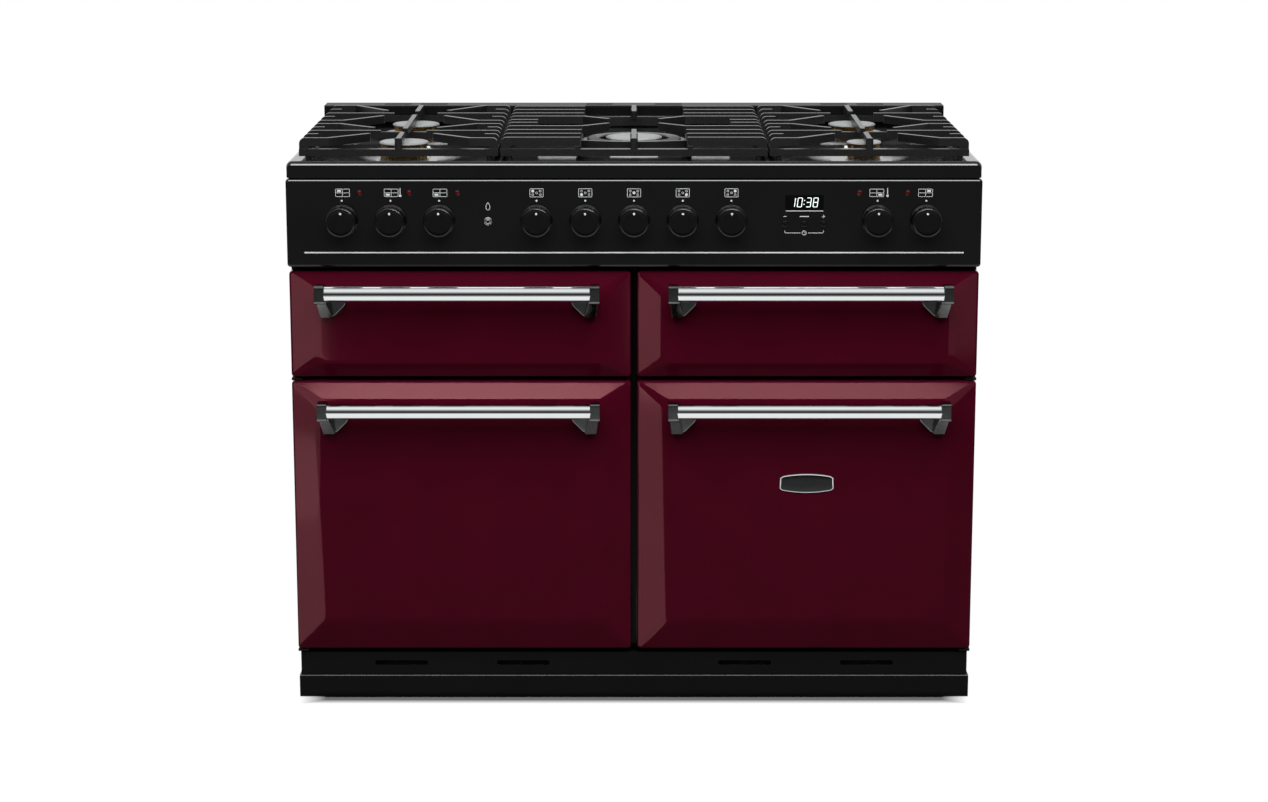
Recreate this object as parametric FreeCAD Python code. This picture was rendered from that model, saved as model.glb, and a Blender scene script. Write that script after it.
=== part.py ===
import FreeCAD, Part
import math
import os

# Range cooker with four doors, a five burner gas hob and a bank of ten knobs.
# Millimetres. X runs to the right, Y to the back, Z up. The front faces -Y.
# Depths are measured back from the flat front of the control panel and written r.

# Overall sizes
overall_width = 1100.0
body_depth = 600.0
side_inset = 1.0
side_sheet = 1.5
body_front = 47.0
side_lift = 20.0
overrun = 5.0
running_gap = 0.3
cover_gap = 1.0

# Heights, from the floor up
floor_gap = 2.0
kick_height = 38.0
plinth_height = 41.0
plinth_gap = 7.5
lower_door_height = 446.0
door_gap = 7.2
upper_door_height = 171.0
panel_gap = 8.5
panel_height = 140.5
lip_gap = 1.3
lip_height = 26.0
flue_height = 32.0

# Kick strip, plinth and base
kick_setback = 20.0
kick_sheet = 3.0
kick_bevel = 2.4
plinth_setback = 24.0
plinth_sheet = 3.0
plinth_inset = 4.0
plinth_round = 2.5
plinth_slot_length = 86.0
plinth_slot_height = 8.0
plinth_slot_place_shares = (-0.695, -0.331, 0.331, 0.695)
base_sheet = 1.5
base_height = 64.5
base_flange = 20.0
foot_radius = 22.0
foot_height = 10.0
foot_rod_radius = 5.0
foot_inset = 70.0

# Front frame and the four cavities behind it
frame_sheet = 2.0
frame_upstand = 20.0
cavity_side_inset = 52.0
lower_cavity_lift = 38.0
lower_cavity_height = 368.0
lower_cavity_depth = 430.0
upper_cavity_lift = 36.3
upper_cavity_height = 105.0
upper_cavity_depth = 400.0
liner_wall = 1.5
liner_flange = 14.0
liner_round = 12.0
seal_width = 6.0
seal_step = 1.0

# Doors
door_centre_gap = 10.0
door_depth = 40.0
door_bevel_depth = 12.0
door_side_bevel = 43.0
lower_door_top_bevel = 31.0
lower_door_bottom_bevel = 49.0
upper_door_top_bevel = 31.0
upper_door_bottom_bevel = 26.0
door_edge_round = 4.0
door_wall = 5.0
bevel_shares = (0.0, 0.2, 0.4, 0.6, 0.8, 1.0)
door_liner_sheet = 2.0
door_plug_depth = 12.0
door_plug_margin = 8.0
door_plug_round = 6.0

# Hinges
hinge_pin_radius = 3.0
side_hinge_inset = 8.0
side_hinge_setback = 22.0
hinge_plate_sheet = 3.5
hinge_plate_gap = 1.2
hinge_plate_width = 18.0
hinge_pin_reach = 6.0
drop_hinge_setback = 20.0
drop_hinge_lift = 14.3
lug_width = 8.0
lug_half_height = 3.5
lug_side_gap = 1.5
lug_pin_radius = 2.5
lug_pin_reach = 3.5

# Handles
handle_reach = 42.0
bar_radius = 12.5
bar_end_inset = 46.0
bar_inner_inset = 49.0
upper_bar_drop = 27.7
lower_bar_drop = 38.5
bracket_width = 16.0
bracket_height = 30.0
bracket_wrap = 2.5
bracket_foot_width = 46.0
bracket_foot_drop = 43.0
bracket_foot_height = 26.0
bracket_arm_height = 22.0
bracket_round = 3.0

# Control panel
panel_sheet = 2.0
panel_corner = 5.0
knob_end_margin = 88.6
knob_lift = 74.8
knob_place_shares = (-6, -5, -4, -2, -1, 0, 1, 2, 5, 6)
knob_skirt_radius = 25.3
knob_skirt_height = 2.8
knob_body_radius = 23.4
knob_bevel = 3.2
knob_reach = 28.0
knob_standoff = 0.8
knob_dish = 1.0
spindle_radius = 4.0
spindle_reach = 24.0
valve_neck_radius = 11.0
valve_neck_length = 12.0
valve_width = 26.0
valve_height = 34.0
valve_depth = 36.0
lamp_lift = 118.8
lamp_radius = 4.0
lamp_reach = 1.5
lamp_tail = 8.0
lamp_place_shares = (-5.636, -4.616, -3.624, 4.629, 5.618)
ignition_lift = 73.8
ignition_place_share = -3
ignition_radius = 4.5
ignition_reach = 2.5
ignition_tail = 10.0
ignition_travel = 3.0
ignition_body_radius = 9.0
ignition_body_length = 26.0

# Clock
clock_place_share = 3.5
clock_window_width = 60.6
clock_window_height = 22.7
clock_window_lift = 92.2
clock_glass_recess = 0.4
clock_body_width = 92.0
clock_body_height = 66.0
clock_body_depth = 25.0
clock_button_radius = 5.0
clock_button_pitch = 30.5
clock_button_lift = 69.4
clock_button_reach = 3.0
clock_button_tail = 5.0
clock_button_travel = 1.0

# Gas rail
rail_radius = 8.0
rail_end_margin = 50.0
rail_bend = 30.0
inlet_radius = 10.5
inlet_length = 22.0
inlet_hole_gap = 4.0
cable_hole_radius = 10.5

# Hob tray and flue trim
hob_front = 3.0
flue_depth = 55.0
hob_side_inset = 1.0
hob_sheet = 2.0
hob_round = 9.0
flue_sheet = 2.0
flue_round = 3.0
flue_side_inset = 4.0
flue_slot_length = 48.0
flue_slot_width = 7.0
flue_slot_row_gap = 9.0
flue_slot_place_shares = (-0.765, -0.648, -0.111, 0.111, 0.648, 0.765)

# Burners
front_burner_depth = 142.0
rear_burner_depth = 407.0
wok_depth = 284.0
burner_cap_radius = 40.0
small_cap_radius = 28.0
cap_thickness = 4.0
cap_top_lift = 17.0
base_flange_sheet = 2.0
base_flange_extra = 12.0
base_cup_extra = 2.0
base_cup_depth = 24.0
head_height_gap = 0.3
port_width = 1.6
port_height = 4.0
port_depth = 3.0
port_count = 36
wok_ring_radius = 78.5
wok_ring_inner = 58.0
wok_cap_radius = 47.0
wok_cap_lift = 9.0
wok_ring_lift = 7.0

# Pan supports
support_front = 28.0
support_first_fin = 37.0
support_fin_run = 495.0
support_rail_width = 14.0
support_side_rail = 9.0
support_side_margin = 18.5
support_gap = 4.0
support_side_share = 0.29915
support_foot_height = 5.4
support_clear = 0.2
support_foot_radius = 5.0
support_foot_inset = 14.0
support_rail_height = 11.0
support_height = 34.0
fin_thickness = 8.0
fin_finger_height = 13.0
fin_post_length = 14.0
fin_end_round = 9.0
fin_stub_length = 24.0
side_fin_shares = (0.0, 0.115, 0.212, 0.313, 0.414, 0.515, 0.638, 0.747, 0.873, 1.0)
side_fin_kinds = ("back", "stub", "straight", "stub", "forward", "back", "stub", "straight", "stub",
                  "forward")
fin_diagonal_start = 45.0
fin_diagonal_tip = 54.0
fin_diagonal_reach = 44.0
fin_straight_tip = 37.0
spine_gap = 30.0
middle_fin_shares = (0.016, 0.127, 0.236, 0.349, 0.453, 0.541, 0.648, 0.749, 0.863, 0.976)
middle_fin_kinds = ("long", "long", "long", "back", "stub", "stub", "forward", "long", "long", "long")
middle_long_tip = 85.0
middle_diagonal_tip = 44.0
middle_diagonal_reach = 34.0
middle_stub_length = 51.0
middle_arc_radius = 187.0
middle_front_finger = 129.0
middle_rear_finger = 100.0

# Oven furniture
runner_sheet = 1.5
runner_ledge = 9.0
runner_gap = 2.5
runner_depth = 380.0
runner_setback = 12.0
lower_ledge_shares = (0.2, 0.42, 0.64, 0.84)
lower_shelf_shares = (0.2, 0.64)
upper_ledge_share = 0.3
shelf_wire = 2.2
shelf_wire_count = 13
shelf_depth = 360.0
baffle_half = 130.0
baffle_depth = 34.0
baffle_sheet = 1.5
baffle_slot_count = 12
baffle_slot_inner = 55.0
baffle_slot_outer = 105.0
baffle_slot_width = 9.0
fan_radius = 74.0
fan_blade_height = 20.0
fan_blade_sheet = 1.6
fan_blade_count = 10
fan_hub_radius = 12.0
fan_shaft_radius = 4.0
fan_shaft_length = 40.0
fan_clear = 5.0
motor_radius = 38.0
motor_length = 46.0
element_radius = 3.5
element_pass_count = 5
element_side_gap = 55.0
element_depth = 250.0
element_drop = 18.0
ring_element_radius = 92.0
grill_pan_side_gap = 15.0
grill_pan_depth = 330.0
grill_pan_height = 32.0
grill_pan_sheet = 1.5
grill_trivet_wire = 2.5
grill_trivet_wire_count = 11
grill_pan_lip = 8.0

# Heights and planes worked out from the sizes above
z_kick_top = kick_height
z_plinth_top = z_kick_top + plinth_height
z_lower_door = z_plinth_top + plinth_gap
z_lower_top = z_lower_door + lower_door_height
z_upper_door = z_lower_top + door_gap
z_upper_top = z_upper_door + upper_door_height
z_panel = z_upper_top + panel_gap
z_panel_top = z_panel + panel_height
z_lip = z_panel_top + lip_gap
z_deck = z_lip + lip_height
z_base = base_height
z_knob = z_panel + knob_lift
z_lower_cavity = z_lower_door + lower_cavity_lift
z_upper_cavity = z_upper_door + upper_cavity_lift
z_support_top = z_deck + support_height
y_face = (handle_reach + bar_radius - body_depth) / 2
x_side = overall_width / 2 - side_inset
x_inner = x_side - side_sheet
r_back = body_depth
r_frame_back = body_front + frame_sheet
hob_back = r_back - flue_depth

# Widths worked out from the overall width
door_width = x_side - door_centre_gap / 2
cavity_offset = x_side - door_width / 2
cavity_width = door_width - 2 * cavity_side_inset
bar_length = door_width - bar_end_inset - bar_inner_inset
knob_pitch = (overall_width / 2 - knob_end_margin) / max(knob_place_shares)
rail_end = overall_width / 2 - rail_end_margin
hob_half = overall_width / 2 - hob_side_inset
support_run = 2 * (hob_half - support_side_margin - support_gap)
support_side_half = support_side_share * support_run / 2
support_middle_half = support_run / 2 - 2 * support_side_half
side_burner_offset = support_middle_half + support_gap + support_side_half
element_width = cavity_width - 2 * element_side_gap
grill_pan_width = cavity_width - 2 * grill_pan_side_gap

V = FreeCAD.Vector
ACROSS = V(1, 0, 0)
BACK = V(0, 1, 0)
UP = V(0, 0, 1)


def at(x, r, z):
    """A point from its place across, its depth behind the panel front and its height."""
    return V(x, y_face + r, z)


def block(x0, x1, r0, r1, z0, z1):
    return Part.makeBox(x1 - x0, r1 - r0, z1 - z0, at(x0, r0, z0))


def rod(start, end, radius):
    run = end - start
    return Part.makeCylinder(radius, run.Length, start, run)


def fuse(shapes):
    first = shapes[0]
    if len(shapes) == 1:
        return first
    return first.multiFuse(shapes[1:]).removeSplitter()


def cut(shape, tools):
    return shape.cut(tools) if tools else shape


def mirrored(shape):
    return shape.mirror(V(0, 0, 0), ACROSS)


def both_sides(shape):
    return [shape, mirrored(shape)]


def save(name, shapes):
    """Write one sub-part, as one solid or a group of separate solids."""
    group = shapes if isinstance(shapes, list) else [shapes]
    shape = group[0] if len(group) == 1 else Part.makeCompound(group)
    shape.exportStep("parts/" + name + ".step")


def soften(shape, radius, wanted):
    """Round the edges that the test picks."""
    edges = [edge for edge in shape.Edges if wanted(edge)]
    return shape.makeFillet(radius, edges)


def runs_along(edge, direction):
    ends = [vertex.Point for vertex in edge.Vertexes]
    if len(ends) < 2:
        return False
    run = ends[-1] - ends[0]
    return run.Length > 0 and abs(run.dot(direction)) > 0.999 * run.Length


def rounded_block(x0, x1, r0, r1, z0, z1, radius, direction):
    shape = block(x0, x1, r0, r1, z0, z1)
    return soften(shape, radius, lambda edge: runs_along(edge, direction))


def turned(profile, x, z):
    """A solid turned about a line that runs front to back. The profile holds (radius, r)."""
    points = [at(x + radius, r, z) for radius, r in profile]
    face = Part.Face(Part.makePolygon(points + [points[0]]))
    return face.revolve(at(x, 0, z), BACK, 360)


def spun(profile, x, r):
    """A solid turned about a vertical line. The profile holds (radius, z)."""
    points = [at(x + radius, r, z) for radius, z in profile]
    face = Part.Face(Part.makePolygon(points + [points[0]]))
    return face.revolve(at(x, r, 0), UP, 360)


def bent_tube(points, radius, bend):
    """A tube along straight runs joined by arcs of one radius."""
    edges = []
    start = points[0]
    for before, corner, after in zip(points, points[1:], points[2:]):
        into = (corner - before).normalize()
        out = (after - corner).normalize()
        turn = into.getAngle(out)
        trim = bend * math.tan(turn / 2)
        first = corner - into * trim
        last = corner + out * trim
        middle_way = (out - into).normalize()
        middle = corner + middle_way * (bend / math.cos(turn / 2) - bend)
        edges.append(Part.LineSegment(start, first).toShape())
        edges.append(Part.Arc(first, middle, last).toShape())
        start = last
    edges.append(Part.LineSegment(start, points[-1]).toShape())
    path = Part.Wire(edges)
    circle = Part.Circle(points[0], points[1] - points[0], radius).toShape()
    return path.makePipeShell([Part.Wire([circle])], True, False)


# Casing: side sheets, back, base, feet, kick strip and plinth


def make_side_panels():
    sheet = block(x_inner, x_side, body_front, r_back, side_lift, z_lip)
    save("side_panels", both_sides(sheet))


def make_rear_panel():
    sheet = block(-x_inner, x_inner, r_back - side_sheet, r_back, side_lift, z_lip)
    vents = []
    vent_length = cavity_width / 4
    vent_height = plinth_slot_height
    for side in (-1, 1):
        for row in range(6):
            z = z_upper_door + row * 3 * vent_height
            x = side * cavity_offset
            vents.append(block(x - vent_length, x + vent_length, r_back - side_sheet - overrun,
                               r_back + overrun,
                               z, z + vent_height))
    inlet = rod(at(rail_end, r_back - side_sheet - overrun, z_knob),
                at(rail_end, r_back + overrun, z_knob), inlet_radius + inlet_hole_gap)
    cable = rod(at(-rail_end, r_back - side_sheet - overrun, z_knob),
                at(-rail_end, r_back + overrun, z_knob), cable_hole_radius)
    save("rear_panel", cut(sheet, vents + [inlet, cable]))


def make_base_pan():
    back = r_back - side_sheet
    floor = block(-x_inner, x_inner, r_frame_back, back, z_base, z_base + base_sheet)
    front_flange = block(-x_inner, x_inner, r_frame_back, r_frame_back + base_sheet, z_base - base_flange,
                         z_base)
    rear_flange = block(-x_inner, x_inner, back - base_sheet, back, z_base - base_flange, z_base)
    save("base_pan", fuse([floor, front_flange, rear_flange]))


def make_levelling_feet():
    feet = []
    for r in (body_front + foot_inset, r_back - foot_inset):
        x = x_side - foot_inset
        profile = [
            (0, 0),
            (foot_radius, 0),
            (foot_radius, foot_height / 2),
            (foot_radius / 2, foot_height),
            (foot_rod_radius, foot_height),
            (foot_rod_radius, z_base),
            (0, z_base),
        ]
        feet += both_sides(spun(profile, x, r))
    save("levelling_feet", feet)


def make_kick_strip():
    half = x_side
    outer = block(-half, half, kick_setback, body_front, floor_gap, z_kick_top)
    front_top = [edge for edge in outer.Edges
                 if runs_along(edge, ACROSS) and edge.BoundBox.ZMin > z_kick_top / 2
                 and edge.BoundBox.YMin < y_face + kick_setback + kick_sheet]
    outer = outer.makeChamfer(kick_bevel, front_top)
    hollow = block(-half + kick_sheet, half - kick_sheet, kick_setback + kick_sheet,
                   body_front + overrun, floor_gap - overrun, z_kick_top - kick_sheet)
    save("kick_strip", cut(outer, [hollow]))


def make_plinth_panel():
    half = x_side - plinth_inset
    outer = block(-half, half, plinth_setback, body_front, z_kick_top, z_plinth_top)
    outer = soften(outer, plinth_round,
                   lambda edge: runs_along(edge, ACROSS) and edge.BoundBox.ZMin > z_kick_top + plinth_round
                   and edge.BoundBox.YMin < y_face + plinth_setback + plinth_round)
    hollow = block(-half + plinth_sheet, half - plinth_sheet, plinth_setback + plinth_sheet,
                   body_front + overrun,
                   z_kick_top - overrun, z_plinth_top - plinth_sheet)
    slots = []
    middle = (z_kick_top + z_plinth_top) / 2
    for share in plinth_slot_place_shares:
        x = share * x_side
        slots.append(rounded_block(x - plinth_slot_length / 2, x + plinth_slot_length / 2,
                                   plinth_setback - overrun, plinth_setback + plinth_sheet + overrun,
                                   middle - plinth_slot_height / 2, middle + plinth_slot_height / 2,
                                   plinth_slot_height / 3, BACK))
    save("plinth_panel", cut(outer, [hollow] + slots))


# Front frame, cavity liners and door seals

CAVITIES = {
    "left_oven": (-cavity_offset, z_lower_cavity, lower_cavity_height, lower_cavity_depth),
    "right_oven": (cavity_offset, z_lower_cavity, lower_cavity_height, lower_cavity_depth),
    "grill": (-cavity_offset, z_upper_cavity, upper_cavity_height, upper_cavity_depth),
    "slow_oven": (cavity_offset, z_upper_cavity, upper_cavity_height, upper_cavity_depth),
}


def cavity_block(place, r0, r1, grow):
    x, z, height, _ = place
    half = cavity_width / 2 + grow
    return rounded_block(x - half, x + half, r0, r1, z - grow, z + height + grow, liner_round + grow, BACK)


def make_front_frame():
    sheet = block(-x_inner, x_inner, body_front, r_frame_back, z_base, z_panel + frame_upstand)
    holes = [cavity_block(place, body_front - overrun, r_frame_back + overrun, 0)
             for place in CAVITIES.values()]
    save("front_frame", cut(sheet, holes))


def make_liner(name, place):
    depth = place[3]
    shell = cavity_block(place, r_frame_back, r_frame_back + depth + liner_wall, liner_wall)
    flange = cavity_block(place, r_frame_back, r_frame_back + liner_wall, liner_flange)
    hollow = cavity_block(place, r_frame_back - overrun, r_frame_back + depth, 0)
    tools = [hollow]
    if depth == lower_cavity_depth:
        x, z, height, _ = place
        middle = z + height / 2
        tools.append(rod(at(x, r_frame_back + depth - overrun, middle),
                         at(x, r_frame_back + depth + overrun, middle), fan_shaft_radius + running_gap))
    save(name + "_liner", cut(fuse([shell, flange]), tools))


def make_door_seals():
    seals = []
    for place in CAVITIES.values():
        ring = cavity_block(place, door_depth + running_gap, body_front, seal_step + seal_width)
        seals.append(cut(ring,
                         [cavity_block(place, door_depth - overrun, body_front + overrun, seal_step)]))
    save("door_seals", seals)


# Doors. Each is a pressed tray with a raised front, closed by an inner liner.


def bevel_rise(share):
    return share * share * (3 - 2 * share)


def raised_tray(x0, x1, z0, z1, side, top, bottom, wall):
    """The raised front and square back of a door, drawn in by a wall thickness."""
    edge = door_edge_round
    rings = [(door_depth + overrun if wall else door_depth, 0, 0, 0), (door_bevel_depth + edge, 0, 0, 0)]
    for share in bevel_shares:
        depth = door_bevel_depth * (1 - bevel_rise(share))
        insets = [edge + share * (reach - edge) for reach in (side, bottom, top)]
        rings.append((depth, insets[0], insets[1], insets[2]))
    wires = []
    for depth, from_side, from_bottom, from_top in rings:
        left = x0 + wall + from_side
        right = x1 - wall - from_side
        low = z0 + wall + from_bottom
        high = z1 - wall - from_top
        r = depth + wall if depth < door_depth else depth
        corners = [at(left, r, low), at(right, r, low), at(right, r, high), at(left, r, high)]
        wires.append(Part.makePolygon(corners + [corners[0]]))
    return Part.makeLoft(wires, True, True)


def drop_hinge_cuts(x0, x1, z0):
    """Room in a drop-down door for the two lugs as it turns, and the blind bores for their pins."""
    tools = []
    z_pin = z0 + drop_hinge_lift
    for x_wall, inward in ((x0, 1), (x1, -1)):
        near = x_wall + inward * door_wall
        far = near + inward * (lug_width + 2 * lug_side_gap)
        low_r = drop_hinge_setback - lug_half_height - cover_gap
        tools.append(block(min(near, far), max(near, far), low_r, door_depth + door_plug_depth + overrun,
                           z0 - overrun, z_pin + lug_half_height + lug_side_gap))
        bore_end = near - inward * (lug_pin_reach + running_gap)
        tools.append(rod(at(near + inward * running_gap, drop_hinge_setback, z_pin),
                         at(bore_end, drop_hinge_setback, z_pin), lug_pin_radius + running_gap))
    return tools


def side_hinge_cuts(x_pin, z0, z1):
    top = rod(at(x_pin, side_hinge_setback, z1 + overrun),
              at(x_pin, side_hinge_setback, z1 - door_wall - overrun),
              hinge_pin_radius + running_gap)
    bottom = rod(at(x_pin, side_hinge_setback, z0 - overrun),
                 at(x_pin, side_hinge_setback, z0 + door_wall + overrun),
                 hinge_pin_radius + running_gap)
    return [top, bottom]


def handle(x0, x1, z_bar):
    """A round bar held at both ends by brackets that reach down and back to the door."""
    bar = rod(at(x0, -handle_reach, z_bar), at(x1, -handle_reach, z_bar), bar_radius)
    pieces = [bar]
    wrap = bar_radius + bracket_wrap
    for x_end, inward in ((x0, 1), (x1, -1)):
        x_near = x_end + inward * bracket_width
        x_foot = x_end + inward * bracket_foot_width
        low = min(x_end, x_near)
        high = max(x_end, x_near)
        end_block = rounded_block(low, high, -handle_reach - bar_radius, -handle_reach + wrap,
                                  z_bar - bracket_height / 2, z_bar + bracket_height / 2,
                                  bracket_round * 2, ACROSS)
        pieces.append(end_block)
        arm_r = -handle_reach
        sections = [
            (arm_r, x_end, x_near, z_bar - bracket_height / 2,
             z_bar - bracket_height / 2 + bracket_arm_height),
            (0, x_end, x_foot, z_bar - bracket_foot_drop, z_bar - bracket_foot_drop + bracket_foot_height),
        ]
        wires = []
        for r, xa, xb, za, zb in sections:
            corners = [at(xa, r, za), at(xb, r, za), at(xb, r, zb), at(xa, r, zb)]
            wires.append(Part.makePolygon(corners + [corners[0]]))
        pieces.append(Part.makeLoft(wires, True, True))
    return fuse(pieces)


def make_door(name, side, upper):
    """One door: its tray, its inner liner and its handle. Side is -1 on the left and 1 on the right."""
    z0, z1 = (z_upper_door, z_upper_top) if upper else (z_lower_door, z_lower_top)
    top = upper_door_top_bevel if upper else lower_door_top_bevel
    bottom = upper_door_bottom_bevel if upper else lower_door_bottom_bevel
    x0 = door_centre_gap / 2
    x1 = x_side
    tray = raised_tray(x0, x1, z0, z1, door_side_bevel, top, bottom, 0)
    hollow = raised_tray(x0, x1, z0, z1, door_side_bevel, top, bottom, door_wall)
    if upper:
        tools = drop_hinge_cuts(x0, x1, z0)
    else:
        tools = side_hinge_cuts(x1 - side_hinge_inset, z0, z1)
    tray = cut(tray, [hollow] + tools)
    place = CAVITIES["slow_oven" if upper else "right_oven"]
    plate = block(x0 + door_wall + running_gap, x1 - door_wall - running_gap, door_depth - door_liner_sheet,
                  door_depth, z0 + door_wall + running_gap, z1 - door_wall - running_gap)
    plug = cavity_block(place, door_depth, door_depth + door_plug_depth, -door_plug_margin)
    plug = soften(plug, door_plug_round / 2,
                  lambda edge: edge.BoundBox.YMin > y_face + door_depth + door_plug_round)
    liner = cut(fuse([plate, plug]), tools)
    bar_x1 = x1 - bar_end_inset
    drop = upper_bar_drop if upper else lower_bar_drop
    grip = handle(bar_x1 - bar_length, bar_x1, z1 - drop)
    for part_name, shape in (("panel", tray), ("liner", liner), ("handle", grip)):
        save(name + "_door_" + part_name, shape if side > 0 else mirrored(shape))


def make_door_hinges():
    """Pin plates above and below the side hung doors, and lugs with pins for the drop-down doors."""
    hinges = []
    x_pin = x_side - side_hinge_inset
    x0 = x_pin - hinge_plate_width / 2
    x1 = min(x_pin + hinge_plate_width / 2, x_side)
    front = side_hinge_setback - hinge_plate_width / 2
    for door_edge, upward in ((z_lower_top, 1), (z_lower_door, -1)):
        near = door_edge + upward * hinge_plate_gap
        far = near + upward * hinge_plate_sheet
        plate = block(x0, x1, front, body_front, min(near, far), max(near, far))
        pin = rod(at(x_pin, side_hinge_setback, far),
                  at(x_pin, side_hinge_setback, door_edge - upward * hinge_pin_reach),
                  hinge_pin_radius)
        hinges += both_sides(fuse([plate, pin]))
    z_pin = z_upper_door + drop_hinge_lift
    for x_wall, inward in ((door_centre_gap / 2, 1), (x_side, -1)):
        near = x_wall + inward * (door_wall + lug_side_gap)
        far = near + inward * lug_width
        lug = block(min(near, far), max(near, far), drop_hinge_setback, body_front,
                    z_pin - lug_half_height, z_pin + lug_half_height)
        nose = rod(at(near, drop_hinge_setback, z_pin), at(far, drop_hinge_setback, z_pin), lug_half_height)
        tip = x_wall + inward * (door_wall - lug_pin_reach)
        pin = rod(at(far, drop_hinge_setback, z_pin), at(tip, drop_hinge_setback, z_pin), lug_pin_radius)
        hinges += both_sides(fuse([lug, nose, pin]))
    save("door_hinges", hinges)


# Control panel and what it carries

KNOBS = {
    "grill_knob": knob_place_shares[0],
    "left_oven_heat_knob": knob_place_shares[1],
    "left_oven_mode_knob": knob_place_shares[2],
    "left_rear_burner_knob": knob_place_shares[3],
    "left_front_burner_knob": knob_place_shares[4],
    "wok_burner_knob": knob_place_shares[5],
    "right_front_burner_knob": knob_place_shares[6],
    "right_rear_burner_knob": knob_place_shares[7],
    "right_oven_knob": knob_place_shares[8],
    "slow_oven_knob": knob_place_shares[9],
}

CLOCK_BUTTONS = {"clock_minus_button": -1, "clock_mode_button": 0, "clock_plus_button": 1}

x_clock = clock_place_share * knob_pitch
x_ignition = ignition_place_share * knob_pitch
z_clock_window = z_panel + clock_window_lift
z_clock_button = z_panel + clock_button_lift
z_lamp = z_panel + lamp_lift
z_ignition = z_panel + ignition_lift


def panel_bore(x, z, radius):
    return rod(at(x, -overrun, z), at(x, panel_sheet + overrun, z), radius)


def make_control_panel():
    half = overall_width / 2
    outer = block(-half, half, 0, body_front, z_panel, z_panel_top)
    outer = soften(outer, panel_corner, lambda edge: runs_along(edge, BACK))
    front_rim = panel_sheet / 2
    outer = soften(outer, front_rim, lambda edge: edge.BoundBox.YMax < y_face + front_rim)
    hollow = block(-half + panel_sheet, half - panel_sheet, panel_sheet, body_front + overrun,
                   z_panel + panel_sheet, z_panel_top - panel_sheet)
    tools = [hollow]
    for share in knob_place_shares:
        tools.append(panel_bore(share * knob_pitch, z_knob, spindle_radius + 2 * running_gap))
    for share in lamp_place_shares:
        tools.append(panel_bore(share * knob_pitch, z_lamp, lamp_radius + running_gap))
    tools.append(panel_bore(x_ignition, z_ignition, ignition_radius + running_gap))
    for step in CLOCK_BUTTONS.values():
        tools.append(panel_bore(x_clock + step * clock_button_pitch, z_clock_button,
                                clock_button_radius + running_gap))
    tools.append(block(x_clock - clock_window_width / 2, x_clock + clock_window_width / 2, -overrun,
                       panel_sheet + overrun, z_clock_window, z_clock_window + clock_window_height))
    save("control_panel", cut(outer, tools))


def make_knobs():
    front = -knob_standoff - knob_reach
    back = -knob_standoff
    skirt = back - knob_skirt_height
    for name, share in KNOBS.items():
        profile = [
            (0, front + knob_dish),
            (knob_body_radius - 2 * knob_bevel, front + knob_dish),
            (knob_body_radius - knob_bevel, front),
            (knob_body_radius, front + knob_bevel),
            (knob_body_radius, skirt),
            (knob_skirt_radius, skirt),
            (knob_skirt_radius, back),
            (spindle_radius, back),
            (spindle_radius, spindle_reach),
            (0, spindle_reach),
        ]
        save(name, turned(profile, share * knob_pitch, z_knob))


def make_control_valves():
    """A tap or switch body behind each knob, and the ignition switch body."""
    bodies = []
    neck_end = panel_sheet + valve_neck_length
    for share in knob_place_shares:
        x = share * knob_pitch
        neck = rod(at(x, panel_sheet, z_knob), at(x, neck_end + overrun, z_knob), valve_neck_radius)
        body = rounded_block(x - valve_width / 2, x + valve_width / 2, neck_end, neck_end + valve_depth,
                             z_knob - valve_height / 2, z_knob + valve_height / 2, running_gap * 10, BACK)
        bore = rod(at(x, 0, z_knob), at(x, spindle_reach + cover_gap, z_knob), spindle_radius + running_gap)
        bodies.append(cut(fuse([neck, body]), [bore]))
    switch = rod(at(x_ignition, panel_sheet, z_ignition),
                 at(x_ignition, panel_sheet + ignition_body_length, z_ignition),
                 ignition_body_radius)
    bore = rod(at(x_ignition, 0, z_ignition),
               at(x_ignition, ignition_tail + ignition_travel + cover_gap, z_ignition),
               ignition_radius + running_gap)
    bodies.append(cut(switch, [bore]))
    save("control_valves", bodies)


def make_indicator_lenses():
    lenses = []
    for share in lamp_place_shares:
        profile = [
            (0, -lamp_reach),
            (lamp_radius / 2, -lamp_reach * 0.9),
            (lamp_radius, 0),
            (lamp_radius, lamp_tail),
            (0, lamp_tail),
        ]
        lenses.append(turned(profile, share * knob_pitch, z_lamp))
    save("indicator_lenses", lenses)


def make_ignition_button():
    profile = [
        (0, -ignition_reach),
        (ignition_radius * 0.8, -ignition_reach),
        (ignition_radius, -ignition_reach * 0.7),
        (ignition_radius, ignition_tail),
        (0, ignition_tail),
    ]
    save("ignition_button", turned(profile, x_ignition, z_ignition))


def make_clock():
    window = block(x_clock - clock_window_width / 2 + running_gap,
                   x_clock + clock_window_width / 2 - running_gap,
                   clock_glass_recess, panel_sheet + overrun, z_clock_window + running_gap,
                   z_clock_window + clock_window_height - running_gap)
    top = z_clock_window + clock_window_height + overrun
    body = block(x_clock - clock_body_width / 2, x_clock + clock_body_width / 2, panel_sheet,
                 panel_sheet + clock_body_depth, top - clock_body_height, top)
    wells = []
    for name, step in CLOCK_BUTTONS.items():
        x = x_clock + step * clock_button_pitch
        wells.append(rod(at(x, 0, z_clock_button),
                         at(x, clock_button_tail + clock_button_travel + cover_gap, z_clock_button),
                         clock_button_radius + running_gap))
        profile = [
            (0, -clock_button_reach),
            (clock_button_radius * 0.8, -clock_button_reach),
            (clock_button_radius, -clock_button_reach * 0.7),
            (clock_button_radius, clock_button_tail),
            (0, clock_button_tail),
        ]
        save(name, turned(profile, x, z_clock_button))
    save("clock_module", cut(fuse([window, body]), wells))


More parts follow.
